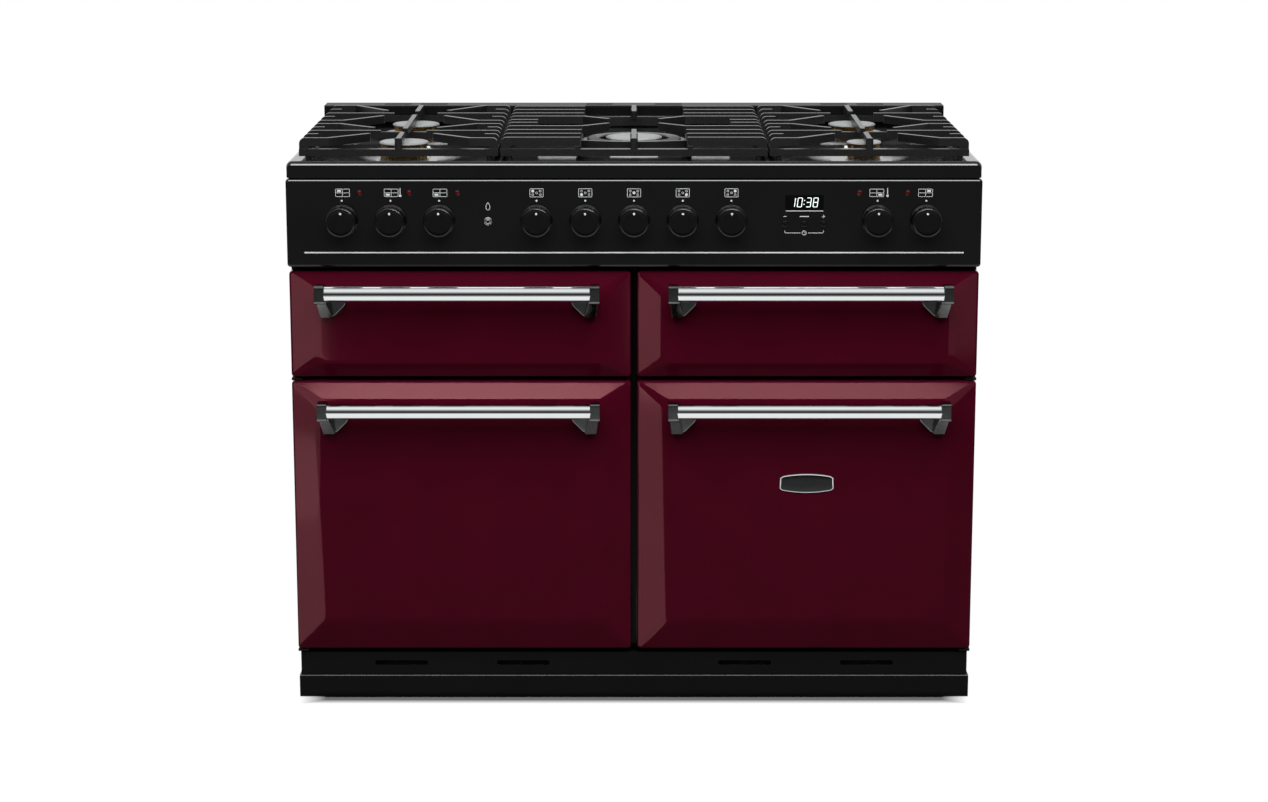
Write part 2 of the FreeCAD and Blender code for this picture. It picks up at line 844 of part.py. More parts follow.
def make_gas_rail():
    """A pipe behind the taps that turns back to the inlet at the rear."""
    r_rail = panel_sheet + valve_neck_length + valve_depth + rail_radius + running_gap
    points = [
        at(-rail_end, r_rail, z_knob),
        at(rail_end, r_rail, z_knob),
        at(rail_end, r_back - inlet_length, z_knob),
    ]
    pipe = bent_tube(points, rail_radius, rail_bend)
    fitting = rod(at(rail_end, r_back - inlet_length, z_knob), at(rail_end, r_back, z_knob), inlet_radius)
    save("gas_rail", fuse([pipe, fitting]))


# Hob tray, flue trim and burners

BURNERS = {
    "left_front": (-side_burner_offset, front_burner_depth, burner_cap_radius),
    "left_rear": (-side_burner_offset, rear_burner_depth, burner_cap_radius),
    "right_rear": (side_burner_offset, rear_burner_depth, burner_cap_radius),
    "right_front": (side_burner_offset, front_burner_depth, small_cap_radius),
}


def make_hob_tray():
    half = hob_half
    outer = block(-half, half, hob_front, hob_back, z_lip, z_deck)
    outer = soften(outer, hob_round,
                   lambda edge: runs_along(edge, ACROSS) and edge.BoundBox.ZMin > z_lip + hob_sheet
                   and edge.BoundBox.YMax < y_face + hob_front + hob_round)
    inside = half - side_inset
    hollow = block(-inside + hob_sheet, inside - hob_sheet, hob_front + hob_sheet + hob_round / 2,
                   hob_back - hob_sheet, z_lip - overrun, z_deck - hob_sheet)
    tools = [hollow]
    for x, r, cap in BURNERS.values():
        tools.append(rod(at(x, r, z_lip), at(x, r, z_deck + overrun), cap + base_cup_extra))
    tools.append(rod(at(0, wok_depth, z_lip), at(0, wok_depth, z_deck + overrun),
                     wok_ring_radius + base_cup_extra))
    save("hob_tray", cut(outer, tools))


def make_flue_trim():
    half = x_side - flue_side_inset
    z_top = z_deck + flue_height
    outer = block(-half, half, hob_back, r_back, z_lip, z_top)
    outer = soften(outer, flue_round, lambda edge: runs_along(edge, ACROSS) and edge.BoundBox.ZMin > z_deck)
    hollow = block(-half + flue_sheet, half - flue_sheet, hob_back + flue_sheet, r_back - flue_sheet,
                   z_lip - overrun, z_top - flue_sheet)
    slots = []
    middle = (hob_back + r_back) / 2
    for share in flue_slot_place_shares:
        for row in (-1, 1):
            x = share * half
            r = middle + row * flue_slot_row_gap
            slots.append(rounded_block(x - flue_slot_length / 2, x + flue_slot_length / 2,
                                       r - flue_slot_width / 2, r + flue_slot_width / 2,
                                       z_top - flue_sheet - overrun, z_top + overrun, flue_slot_width / 3,
                                       UP))
    save("flue_trim", cut(outer, [hollow] + slots))


def ported_ring(x, r, radius, inner, z0, z1, count):
    """A burner head with a ring of flame slots cut round its side."""
    head = Part.makeCylinder(radius, z1 - z0, at(x, r, z0))
    tools = [Part.makeCylinder(inner, z1 - z0 + 2 * overrun, at(x, r, z0 - overrun))]
    slot = block(x + radius - port_depth, x + radius + overrun, r - port_width / 2, r + port_width / 2,
                 z1 - port_height, z1 + overrun)
    for turn in range(count):
        port = slot.copy()
        port.rotate(at(x, r, 0), UP, 360.0 * turn / count)
        tools.append(port)
    return cut(head, tools)


def make_burners():
    bases, heads, caps = [], [], []
    z_flange = z_deck + base_flange_sheet
    for x, r, cap in BURNERS.values():
        z_cap = z_deck + cap_top_lift
        cup = cap + base_cup_extra - running_gap
        profile = [
            (cup - base_flange_sheet, z_deck - base_cup_depth),
            (cup, z_deck - base_cup_depth),
            (cup, z_deck),
            (cap + base_flange_extra, z_deck),
            (cap + base_flange_extra - base_flange_sheet, z_flange),
            (cup - base_flange_sheet, z_flange),
        ]
        bases.append(spun(profile, x, r))
        floor = z_deck - base_cup_depth + base_flange_sheet
        bases[-1] = fuse([bases[-1],
                          Part.makeCylinder(cup, base_flange_sheet, at(x, r, floor - base_flange_sheet))])
        head_radius = cap - base_flange_sheet
        z_head = z_cap - cap_thickness
        skirt = Part.makeCylinder(cup - base_flange_sheet - head_height_gap, z_flange - floor,
                                  at(x, r, floor))
        bore = Part.makeCylinder(cap / 2, z_flange - floor + 2 * overrun, at(x, r, floor - overrun))
        ring = ported_ring(x, r, head_radius, cap / 2, z_flange, z_head, port_count)
        heads.append(fuse([cut(skirt, [bore]), ring]))
        lid = [
            (0, z_head),
            (cap, z_head),
            (cap, z_head + cap_thickness / 2),
            (cap - cap_thickness / 2, z_cap),
            (0, z_cap),
        ]
        caps.append(spun(lid, x, r))
    cup = wok_ring_radius + base_cup_extra - running_gap
    floor = z_deck - base_cup_depth + base_flange_sheet
    profile = [
        (0, floor - base_flange_sheet),
        (cup, floor - base_flange_sheet),
        (cup, z_deck),
        (wok_ring_radius + base_flange_extra, z_deck),
        (wok_ring_radius + base_flange_extra - base_flange_sheet, z_flange),
        (cup - base_flange_sheet, z_flange),
        (cup - base_flange_sheet, floor),
        (0, floor),
    ]
    bases.append(spun(profile, 0, wok_depth))
    z_ring = z_deck + wok_ring_lift
    outer_wall = Part.makeCylinder(wok_ring_radius - base_flange_sheet, z_ring - cap_thickness - floor,
                                   at(0, wok_depth, floor))
    outer_bore = Part.makeCylinder(wok_ring_inner + base_flange_sheet, z_ring - floor,
                                   at(0, wok_depth, floor))
    heads.append(cut(outer_wall, [outer_bore]))
    z_wok = z_deck + wok_cap_lift
    heads.append(ported_ring(0, wok_depth, wok_cap_radius - base_flange_sheet, wok_cap_radius / 2, floor,
                             z_wok - cap_thickness, port_count))
    ring_lid = [
        (wok_ring_inner, z_ring - cap_thickness),
        (wok_ring_radius, z_ring - cap_thickness),
        (wok_ring_radius, z_ring - cap_thickness / 2),
        (wok_ring_radius - cap_thickness, z_ring),
        (wok_ring_inner + cap_thickness, z_ring),
        (wok_ring_inner, z_ring - cap_thickness / 2),
    ]
    caps.append(spun(ring_lid, 0, wok_depth))
    lid = [
        (0, z_wok - cap_thickness),
        (wok_cap_radius, z_wok - cap_thickness),
        (wok_cap_radius, z_wok - cap_thickness / 2),
        (wok_cap_radius - cap_thickness, z_wok),
        (0, z_wok),
    ]
    caps.append(spun(lid, 0, wok_depth))
    save("burner_bases", bases)
    save("burner_heads", heads)
    save("burner_caps", caps)


# Pan supports. Each is one casting: a frame of rails, with upright fins across it.

z_rail = z_deck + support_clear + support_foot_height
z_rail_top = z_rail + support_rail_height
z_finger = z_support_top - fin_finger_height
support_back = support_first_fin + support_fin_run + support_rail_width / 2


def fin(x_root, x_tip, r):
    """An upright plate that stands on a side rail, rounded at its root, with a finger inward."""
    way = 1 if x_tip > x_root else -1
    post = x_root + way * min(fin_post_length, abs(x_tip - x_root))
    r0 = r - fin_thickness / 2
    corner = fin_end_round
    start = at(x_root, r0, z_support_top - corner)
    middle = at(x_root + way * corner * (1 - math.sqrt(0.5)), r0,
                z_support_top - corner * (1 - math.sqrt(0.5)))
    end = at(x_root + way * corner, r0, z_support_top)
    points = [
        end,
        at(x_tip, r0, z_support_top),
        at(x_tip, r0, z_finger),
        at(post, r0, z_finger),
        at(post, r0, z_rail),
        at(x_root, r0, z_rail),
        start,
    ]
    if abs(x_tip - post) < fin_thickness / 10:
        points = [end, at(x_tip, r0, z_support_top), at(x_tip, r0, z_rail), at(x_root, r0, z_rail), start]
    edges = [Part.Arc(start, middle, end).toShape()]
    for a, b in zip(points, points[1:]):
        edges.append(Part.LineSegment(a, b).toShape())
    face = Part.Face(Part.Wire(edges))
    return face.extrude(V(0, fin_thickness, 0))


def finger(x0, r0, x1, r1, z0, z1):
    """A straight finger between two places in plan, with round ends."""
    along = V(x1 - x0, r1 - r0, 0)
    side = V(-along.y, along.x, 0).normalize() * (fin_thickness / 2)
    a = at(x0, r0, z0)
    b = at(x1, r1, z0)
    corners = [a - side, b - side, b + side, a + side]
    face = Part.Face(Part.makePolygon(corners + [corners[0]]))
    body = face.extrude(V(0, 0, z1 - z0))
    caps = [Part.makeCylinder(fin_thickness / 2, z1 - z0, end) for end in (a, b)]
    return fuse([body] + caps)


def support_frame(half):
    """Front, rear and side rails of a pan support, and its four feet, about its own middle."""
    rails = [
        block(-half, half, support_front, support_front + support_rail_width, z_rail, z_rail_top),
        block(-half, half, support_back - support_rail_width, support_back, z_rail, z_rail_top),
        block(-half, -half + support_side_rail, support_front, support_back, z_rail, z_rail_top),
        block(half - support_side_rail, half, support_front, support_back, z_rail, z_rail_top),
    ]
    for x in (-half + support_foot_inset, half - support_foot_inset):
        for r in (support_front + support_rail_width / 2, support_back - support_rail_width / 2):
            rails.append(rod(at(x, r, z_rail - support_foot_height), at(x, r, z_rail), support_foot_radius))
    return rails


def side_support():
    half = support_side_half
    pieces = support_frame(half)
    for share, kind in zip(side_fin_shares, side_fin_kinds):
        r = support_first_fin + share * support_fin_run
        if kind == "stub":
            piece = fin(-half, -half + fin_stub_length, r)
        elif kind == "straight":
            piece = fin(-half, -fin_straight_tip, r)
        else:
            way = 1 if kind == "back" else -1
            bend = -half + fin_diagonal_start
            burner = front_burner_depth if r < wok_depth - fin_thickness * 2 else rear_burner_depth
            tip_r = burner - way * fin_diagonal_reach
            piece = fuse([fin(-half, bend, r),
                          finger(bend, r, -fin_diagonal_tip, tip_r, z_finger, z_support_top)])
        pieces += both_sides(piece)
    front = support_front + fin_thickness / 2
    back = support_back - fin_thickness / 2
    pieces.append(finger(0, front, 0, front_burner_depth - spine_gap, z_finger, z_support_top))
    pieces.append(finger(0, front_burner_depth + spine_gap, 0, rear_burner_depth - spine_gap, z_finger,
                         z_support_top))
    pieces.append(finger(0, rear_burner_depth + spine_gap, 0, back, z_finger, z_support_top))
    for r in (front, back):
        pieces.append(finger(-fin_thickness / 4, r, fin_thickness / 4, r, z_rail, z_support_top))
    bridge = (front_burner_depth + rear_burner_depth) / 2
    pieces.append(block(-half, half, bridge - fin_thickness / 2, bridge + fin_thickness / 2, z_rail,
                        z_rail_top))
    pieces.append(rod(at(0, bridge, z_rail), at(0, bridge, z_support_top), fin_thickness / 2))
    return fuse(pieces)


def middle_support():
    half = support_middle_half
    pieces = support_frame(half)
    for share, kind in zip(middle_fin_shares, middle_fin_kinds):
        r = support_first_fin + share * support_fin_run
        if kind == "stub":
            piece = fin(-half, -half + middle_stub_length, r)
        elif kind == "long":
            piece = fin(-half, -middle_long_tip, r)
        else:
            way = 1 if kind == "back" else -1
            tip_r = wok_depth - way * middle_diagonal_reach
            piece = fuse([fin(-half, -middle_long_tip, r),
                          finger(-middle_long_tip, r, -middle_diagonal_tip, tip_r, z_finger,
                                 z_support_top)])
        pieces += both_sides(piece)
    bar = block(-middle_long_tip - fin_thickness, -middle_long_tip, support_front, support_back, z_rail,
                z_rail_top)
    pieces += both_sides(bar)
    pieces += both_sides(block(-middle_long_tip - fin_thickness, -middle_long_tip, support_front,
                               support_first_fin + middle_fin_shares[3] * support_fin_run, z_rail,
                               z_finger))
    pieces += both_sides(block(-middle_long_tip - fin_thickness, -middle_long_tip,
                               support_first_fin + middle_fin_shares[6] * support_fin_run, support_back,
                               z_rail, z_finger))
    ring = Part.makeCylinder(middle_arc_radius + fin_thickness / 2, z_finger - z_rail,
                             at(0, wok_depth, z_rail))
    ring = cut(ring, [Part.makeCylinder(middle_arc_radius - fin_thickness / 2, z_finger - z_rail,
                                        at(0, wok_depth, z_rail))])
    arcs = ring.common(block(-middle_long_tip, middle_long_tip, support_front, support_back, z_rail,
                             z_finger))
    pieces += arcs.Solids
    front = support_front + fin_thickness / 2
    back = support_back - fin_thickness / 2
    pieces.append(finger(0, front, 0, support_front + middle_front_finger, z_finger, z_support_top))
    pieces.append(finger(0, support_back - middle_rear_finger, 0, back, z_finger, z_support_top))
    for r in (front, back, wok_depth - middle_arc_radius, wok_depth + middle_arc_radius):
        pieces.append(finger(-fin_thickness / 4, r, fin_thickness / 4, r, z_rail, z_support_top))
    return fuse(pieces)


def make_pan_supports():
    side = side_support()
    for name, place in (("left", -side_burner_offset), ("right", side_burner_offset)):
        copy = side.copy()
        copy.translate(V(place, 0, 0))
        save(name + "_pan_support", copy)
    save("middle_pan_support", middle_support())


# Oven furniture: runners, shelves, grill pan, elements, fans


def make_shelf_runners():
    runners = []
    half = cavity_width / 2
    for place in CAVITIES.values():
        x, z, height, depth = place
        r0 = r_frame_back + runner_setback
        r1 = r0 + min(runner_depth, depth - 2 * runner_setback)
        shares = lower_ledge_shares if depth == lower_cavity_depth else (upper_ledge_share,)
        low = z + min(shares) * height - runner_ledge
        high = z + max(shares) * height + runner_ledge
        sheet = block(x - half, x - half + runner_sheet, r0, r1, low, high)
        ledges = []
        for share in shares:
            z_ledge = z + share * height
            ledges.append(block(x - half, x - half + runner_ledge, r0, r1, z_ledge - runner_sheet, z_ledge))
        left = fuse([sheet] + ledges)
        runners += [left, left.mirror(V(x, 0, 0), ACROSS)]
    save("shelf_runners", runners)


def wire_shelf(x, z, r0, depth, width, count, wire):
    """A square bar frame with round wires that run front to back between its bars."""
    half = width / 2
    bar = 2 * wire
    frame = block(x - half, x + half, r0, r0 + depth, z, z + bar)
    inside = block(x - half + bar, x + half - bar, r0 + bar, r0 + depth - bar, z - overrun,
                   z + bar + overrun)
    pieces = [cut(frame, [inside])]
    for index in range(count):
        place = x - half + width * (index + 1) / (count + 1)
        pieces.append(rod(at(place, r0 + wire, z + wire), at(place, r0 + depth - wire, z + wire), wire / 2))
    return fuse(pieces)


def make_shelves():
    shelves = []
    width = cavity_width - 2 * (runner_sheet + runner_gap)
    for side in ("left_oven", "right_oven"):
        x, z, height, depth = CAVITIES[side]
        for share in lower_shelf_shares:
            shelves.append(wire_shelf(x, z + share * height + running_gap,
                                      r_frame_back + 2 * runner_setback,
                                      shelf_depth, width, shelf_wire_count, shelf_wire))
    x, z, height, depth = CAVITIES["slow_oven"]
    shelves.append(wire_shelf(x, z + upper_ledge_share * height + running_gap,
                              r_frame_back + 2 * runner_setback,
                              shelf_depth, width, shelf_wire_count, shelf_wire))
    save("oven_shelves", shelves)


def make_grill_pan():
    x, z, height, depth = CAVITIES["grill"]
    z_lip_under = z + upper_ledge_share * height + running_gap
    r0 = r_frame_back + 2 * runner_setback
    half = grill_pan_width / 2
    rim = block(x - half - grill_pan_lip, x + half + grill_pan_lip, r0, r0 + grill_pan_depth,
                z_lip_under, z_lip_under + grill_pan_sheet)
    body = block(x - half, x + half, r0, r0 + grill_pan_depth,
                 z_lip_under - grill_pan_height + grill_pan_sheet,
                 z_lip_under + grill_pan_sheet)
    inside = block(x - half + grill_pan_sheet, x + half - grill_pan_sheet, r0 + grill_pan_sheet,
                   r0 + grill_pan_depth - grill_pan_sheet,
                   z_lip_under - grill_pan_height + 2 * grill_pan_sheet,
                   z_lip_under + overrun)
    pan = cut(fuse([rim, body]), [inside])
    trivet = wire_shelf(x, z_lip_under + grill_pan_sheet + running_gap, r0 + grill_pan_sheet,
                        grill_pan_depth - 2 * grill_pan_sheet, grill_pan_width + grill_pan_lip,
                        grill_trivet_wire_count, grill_trivet_wire)
    save("grill_pan", [pan, trivet])


def make_heating_elements():
    """A serpentine grill element, two ring elements round the fans and a base loop in the slow oven."""
    elements = []
    for name in ("grill", "slow_oven"):
        x, z, height, depth = CAVITIES[name]
        level = z + height - element_drop
        half = element_width / 2
        r_wall = r_frame_back + depth - running_gap
        r_near = r_wall - element_depth - element_drop
        r_far = r_wall - element_drop
        step = element_width / (2 * element_pass_count - 1)
        points = [at(x - half, r_wall, level)]
        for index in range(2 * element_pass_count):
            place = x - half + index * step
            near_first = index % 2 == 0
            points.append(at(place, r_near if near_first else r_far, level))
            if index < 2 * element_pass_count - 1:
                points.append(at(place + step, r_near if near_first else r_far, level))
        tidy = [points[0]]
        for point in points[1:-1]:
            if (point - tidy[-1]).Length > 0:
                tidy.append(point)
        tidy.append(at(x + half, r_wall, level))
        elements.append(bent_tube(tidy, element_radius, step / 3))
    for name in ("left_oven", "right_oven"):
        x, z, height, depth = CAVITIES[name]
        middle = z + height / 2
        r_ring = r_frame_back + depth - element_drop
        ring = Part.makeTorus(ring_element_radius, element_radius, at(x, r_ring, middle), BACK)
        tail = rod(at(x, r_ring, middle + ring_element_radius),
                   at(x, r_frame_back + depth - running_gap, middle + ring_element_radius), element_radius)
        elements.append(fuse([ring, tail]))
    save("heating_elements", elements)


def make_fans():
    baffles, motors = [], []
    for name in ("left_oven", "right_oven"):
        x, z, height, depth = CAVITIES[name]
        middle = z + height / 2
        r_wall = r_frame_back + depth
        r_front = r_wall - baffle_depth
        outer = block(x - baffle_half, x + baffle_half, r_front, r_wall, middle - baffle_half,
                      middle + baffle_half)
        outer = soften(outer, liner_round, lambda edge: runs_along(edge, BACK))
        hollow = block(x - baffle_half + baffle_sheet, x + baffle_half - baffle_sheet,
                       r_front + baffle_sheet,
                       r_wall + overrun, middle - baffle_half + baffle_sheet,
                       middle + baffle_half - baffle_sheet)
        tools = [hollow]
        for turn in range(baffle_slot_count):
            slot = block(x + baffle_slot_inner, x + baffle_slot_outer, r_front - overrun,
                         r_front + baffle_sheet + overrun, middle - baffle_slot_width / 2,
                         middle + baffle_slot_width / 2)
            slot.rotate(at(x, 0, middle), BACK, 360.0 * turn / baffle_slot_count)
            tools.append(slot)
        baffles.append(cut(outer, tools))
        r_fan = r_wall - fan_clear
        hub = rod(at(x, r_fan - fan_blade_height, middle), at(x, r_fan, middle), fan_hub_radius)
        disc = rod(at(x, r_fan - fan_blade_sheet, middle), at(x, r_fan, middle), fan_radius)
        shaft = rod(at(x, r_fan, middle), at(x, r_fan + fan_shaft_length, middle), fan_shaft_radius)
        pieces = [hub, disc, shaft]
        for turn in range(fan_blade_count):
            blade = block(x + fan_radius / 2, x + fan_radius, r_fan - fan_blade_height, r_fan,
                          middle - fan_blade_sheet / 2, middle + fan_blade_sheet / 2)
            blade.rotate(at(x, 0, middle), BACK, 360.0 * turn / fan_blade_count)
            pieces.append(blade)
        save(name + "_fan", fuse(pieces))
        r_motor = r_wall + liner_wall
        body = rod(at(x, r_motor, middle), at(x, r_motor + motor_length, middle), motor_radius)
        bore = rod(at(x, r_motor - overrun, middle), at(x, r_fan + fan_shaft_length + cover_gap, middle),
                   fan_shaft_radius + running_gap)
        motors.append(cut(body, [bore]))
    save("fan_baffles", baffles)
    save("fan_motors", motors)


def main():
    os.makedirs("parts", exist_ok=True)
    make_side_panels()
    make_rear_panel()
    make_base_pan()
    make_levelling_feet()
    make_kick_strip()
    make_plinth_panel()
    make_front_frame()
    for name, place in CAVITIES.items():
        make_liner(name, place)
    make_door_seals()
    for side, upper, name in ((-1, True, "grill"), (1, True, "slow_oven"), (-1, False, "left_oven"),
                              (1, False, "right_oven")):
        make_door(name, side, upper)
    make_door_hinges()
    make_control_panel()
    make_knobs()
    make_control_valves()
    make_indicator_lenses()
    make_ignition_button()
    make_clock()
    make_gas_rail()
    make_hob_tray()
    make_flue_trim()
    make_burners()
    make_pan_supports()
    make_shelf_runners()
    make_shelves()
    make_grill_pan()
    make_heating_elements()
    make_fans()


main()
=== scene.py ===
"""Looks for an enamelled range cooker, built round its CAD frame, in a plain studio."""
import math

import bmesh
import bpy
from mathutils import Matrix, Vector


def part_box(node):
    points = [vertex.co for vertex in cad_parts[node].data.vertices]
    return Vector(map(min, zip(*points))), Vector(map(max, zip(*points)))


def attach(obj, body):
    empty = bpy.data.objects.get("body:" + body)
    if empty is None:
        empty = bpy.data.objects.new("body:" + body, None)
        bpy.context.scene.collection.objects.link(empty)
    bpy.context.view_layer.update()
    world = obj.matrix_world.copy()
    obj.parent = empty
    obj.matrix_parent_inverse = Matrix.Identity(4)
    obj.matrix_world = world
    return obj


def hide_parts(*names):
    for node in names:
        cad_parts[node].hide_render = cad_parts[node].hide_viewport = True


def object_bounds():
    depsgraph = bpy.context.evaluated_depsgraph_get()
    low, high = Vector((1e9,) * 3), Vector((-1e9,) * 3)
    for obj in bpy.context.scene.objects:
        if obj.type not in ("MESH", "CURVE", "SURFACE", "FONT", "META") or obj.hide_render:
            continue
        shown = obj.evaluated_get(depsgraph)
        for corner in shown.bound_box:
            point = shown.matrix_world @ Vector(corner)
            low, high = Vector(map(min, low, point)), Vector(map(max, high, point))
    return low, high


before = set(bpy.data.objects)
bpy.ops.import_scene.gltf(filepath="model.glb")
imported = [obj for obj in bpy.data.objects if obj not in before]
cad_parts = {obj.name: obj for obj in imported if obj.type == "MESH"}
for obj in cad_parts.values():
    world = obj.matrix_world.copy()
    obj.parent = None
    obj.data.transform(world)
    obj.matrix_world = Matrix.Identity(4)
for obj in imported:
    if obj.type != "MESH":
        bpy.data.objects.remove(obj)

bl_info = {
    "name": "Range cooker",
    "version": (1, 0, 0),
    "blender": (4, 5, 0),
    "location": "3D View > Sidebar > Cooker",
    "description": "Finishes an enamelled range cooker round its CAD frame",
    "category": "Add Mesh",
}

CAD_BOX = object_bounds()
MM = 0.001
MICROMETRE = MM / 1000
PANEL_LOW, PANEL_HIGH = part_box("control_panel")
FACE_Y = PANEL_LOW.y
# Each door's side, and whether it is an upper one
DOORS = {
    "grill_door": (-1, True), "slow_oven_door": (1, True),
    "left_oven_door": (-1, False), "right_oven_door": (1, False),
}
KNOBS = (
    "grill_knob", "left_oven_heat_knob", "left_oven_mode_knob", "left_rear_burner_knob",
    "left_front_burner_knob", "wok_burner_knob", "right_front_burner_knob", "right_rear_burner_knob",
    "right_oven_knob", "slow_oven_knob",
)


def linear(code):
    """The linear colour of an sRGB hex value."""
    parts = [int(code[place:place + 2], 16) / 255 for place in (0, 2, 4)]
    parts = [part / 12.92 if part <= 0.04045 else ((part + 0.055) / 1.055) ** 2.4 for part in parts]
    return (*parts, 1.0)


# Sizes and colours that a user would change


def size(name, text, millimetres):
    """A length property, given in millimetres and kept in metres."""
    return bpy.props.FloatProperty(
        name=name, description=text, default=millimetres * MM, min=0.0, unit="LENGTH", subtype="DISTANCE")


def tint(name, text, code):
    """A colour property, given as an sRGB hex value."""
    return bpy.props.FloatVectorProperty(
        name=name, description=text, default=linear(code), size=4, min=0.0, max=1.0, subtype="COLOR")


class CookerSizes(bpy.types.PropertyGroup):
    """Sizes of the cooker's dressed pieces."""
    door_bevel_depth: size("Door bevel depth", "How far a door's flat front stands out from its edge", 12.0)
    door_side_bevel: size("Side bevel", "Width of the bevel down each side of a door", 43.0)
    upper_top_bevel: size("Upper door top bevel", "Height of the top bevel of the drop-down doors", 31.0)
    upper_bottom_bevel: size("Upper door bottom bevel", "Height of those doors' bottom bevel", 26.0)
    lower_top_bevel: size("Lower door top bevel", "Height of the top bevel of the side-hung doors", 31.0)
    lower_bottom_bevel: size("Lower door bottom bevel", "Height of those doors' bottom bevel", 49.0)
    door_edge: size("Door edge rounding", "Rounding of a door's outer edge", 4.0)
    door_corner: size("Door corner", "Radius of a door's corners seen from the front", 5.0)
    door_rim: size("Door rim", "Width of the rim round a door's inner liner", 5.0)
    bar_radius: size("Bar radius", "Radius of the chrome bars", 12.5)
    bracket_width: size("Bracket width", "Width of the block at each end of a bar", 16.0)
    bracket_height: size("Bracket height", "Height of the block at each end of a bar", 29.6)
    bracket_foot_width: size("Bracket foot width", "Width of a bracket's foot under the bar", 46.0)
    bracket_foot_drop: size("Bracket foot drop", "How far a bracket's foot reaches below the bar", 43.0)
    knob_radius: size("Knob radius", "Radius of a knob's body", 23.4)
    knob_skirt: size("Knob skirt", "Radius of a knob's skirt", 25.3)
    knob_reach: size("Knob reach", "Depth of a knob in front of the panel", 28.0)
    marker_radius: size("Marker radius", "Radius of the marker spot on each knob", 1.9)
    line_height: size("Panel line", "Thickness of the bright line along the panel", 2.1)
    clock_digit: size("Clock digit", "Height of the clock's digits", 15.4)
    badge_width: size("Badge width", "Width of the bare plate on the lower right door", 87.0)
    badge_height: size("Badge height", "Height of the bare plate on the lower right door", 32.0)
    casting_edge: size("Casting edge", "Rounding along the edges of the cast pan supports", 1.2)
    back_sheet: size("Back sheet", "Thickness of the galvanised sheet at the back", 0.6)
    hob_round: size("Hob rounding", "Rounding of the hob's front and side edges", 9.0)


class CookerColours(bpy.types.PropertyGroup):
    """Colours of the cooker's finishes."""
    burgundy_enamel: tint("Door enamel", "Deep burgundy of the four doors", "3c0515")
    black_enamel: tint("Black enamel", "Panel, hob, flue trim, plinth and kick strip", "0e0e0f")
    iron_enamel: tint("Pan support enamel", "Matt enamel on the cast pan supports", "0d0d0e")
    oven_enamel: tint("Oven enamel", "Speckled enamel inside the ovens", "33363c")
    cap_enamel: tint("Burner cap enamel", "Satin enamel on the burner caps", "8b8d8e")
    knob_black: tint("Knob black", "Gloss plastic of the knobs and buttons", "070707")
    bracket_metal: tint("Bracket metal", "Dark plated metal of the handle brackets", "6e7170")
    chrome: tint("Chrome", "Bars, rings and the badge's rim", "e6e9ea")
    brass: tint("Burner brass", "Turned brass of the burner heads", "b08d57")
    print_silver: tint("Print", "Silver ink of the symbols and marks", "c9cbcb")
    lamp_red: tint("Lamp red", "Red lenses of the indicator lamps", "420609")
    digits: tint("Clock digits", "Glow of the clock's digits", "d9e4e2")


# Geometry helpers


def at(x, r, z):
    """A point from its place across, its depth behind the panel front and its height, in millimetres."""
    return Vector((x * MM, FACE_Y + r * MM, z * MM))


def middle_of(node):
    """Place across and height of the middle of a CAD node, in millimetres."""
    low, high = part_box(node)
    return (low.x + high.x) / 2 / MM, (low.z + high.z) / 2 / MM


def skin(bm, rows, material=0, closed=False):
    """Join rings of points into a closed skin. A ring of one point is a pole, and an open end gets a cap."""
    rings = [[bm.verts.new(point) for point in row] for row in rows]
    pairs = list(zip(rings, rings[1:]))
    if closed:
        pairs.append((rings[-1], rings[0]))
    faces = []
    for near, far in pairs:
        count = max(len(near), len(far))
        for step in range(count):
            ends = (step, step + 1), (step + 1, step)
            corners = [ring[place % len(ring)] for ring, pair in zip((near, far), ends) for place in pair]
            faces.append(bm.faces.new(dict.fromkeys(corners)))
    if not closed:
        faces += [bm.faces.new(end) for end in (rings[0], rings[-1]) if len(end) > 2]
    for face in faces:
        face.material_index = material


def turned(bm, profile, centre, axis, steps, material=0, closed=False):
    """Turn a profile of (radius, place along the axis), in millimetres, about a line through a centre."""
    rows = []
    for radius, along in profile:
        row = []
        for step in range(steps if radius else 1):
            angle = math.tau * step / steps
            u = radius * math.cos(angle)
            v = radius * math.sin(angle)
            place = {"X": (along, u, v), "Y": (u, along, v), "Z": (u, v, along)}[axis]
            row.append(centre + Vector(place) * MM)
        rows.append(row)
    skin(bm, rows, material, closed)


def rod(bm, radius, length, start, axis, steps):
    """A plain round rod from a start along an axis, for wires and for cutting holes."""
    turned(bm, ((0, 0), (radius, 0), (radius, length), (0, length)), start, axis, steps)


def block(bm, low, high):
    """A plain block, for cutting and for hidden parts."""
    corners = ((low[0], low[1]), (high[0], low[1]), (high[0], high[1]), (low[0], high[1]))
    skin(bm, [[Vector((x, y, z)) for x, y in corners] for z in (low[2], high[2])])


def arc(centre, radius, start, end, steps):
    """Points of an arc in a plane, from one angle to another in degrees."""
    angles = [math.radians(start + (end - start) * step / steps) for step in range(steps + 1)]
    return [(centre[0] + radius * math.cos(angle), centre[1] + radius * math.sin(angle)) for angle in angles]


def rounded_outline(low, high, corner, steps=6):
    """A rectangle with round corners as (u, v) points."""
    corners = (
        ((high[0] - corner, high[1] - corner), 0), ((low[0] + corner, high[1] - corner), 90),
        ((low[0] + corner, low[1] + corner), 180), ((high[0] - corner, low[1] + corner), 270),
    )
    points = []
    for centre, start in corners:
        points += arc(centre, corner, start, start + 90, steps)
    return points


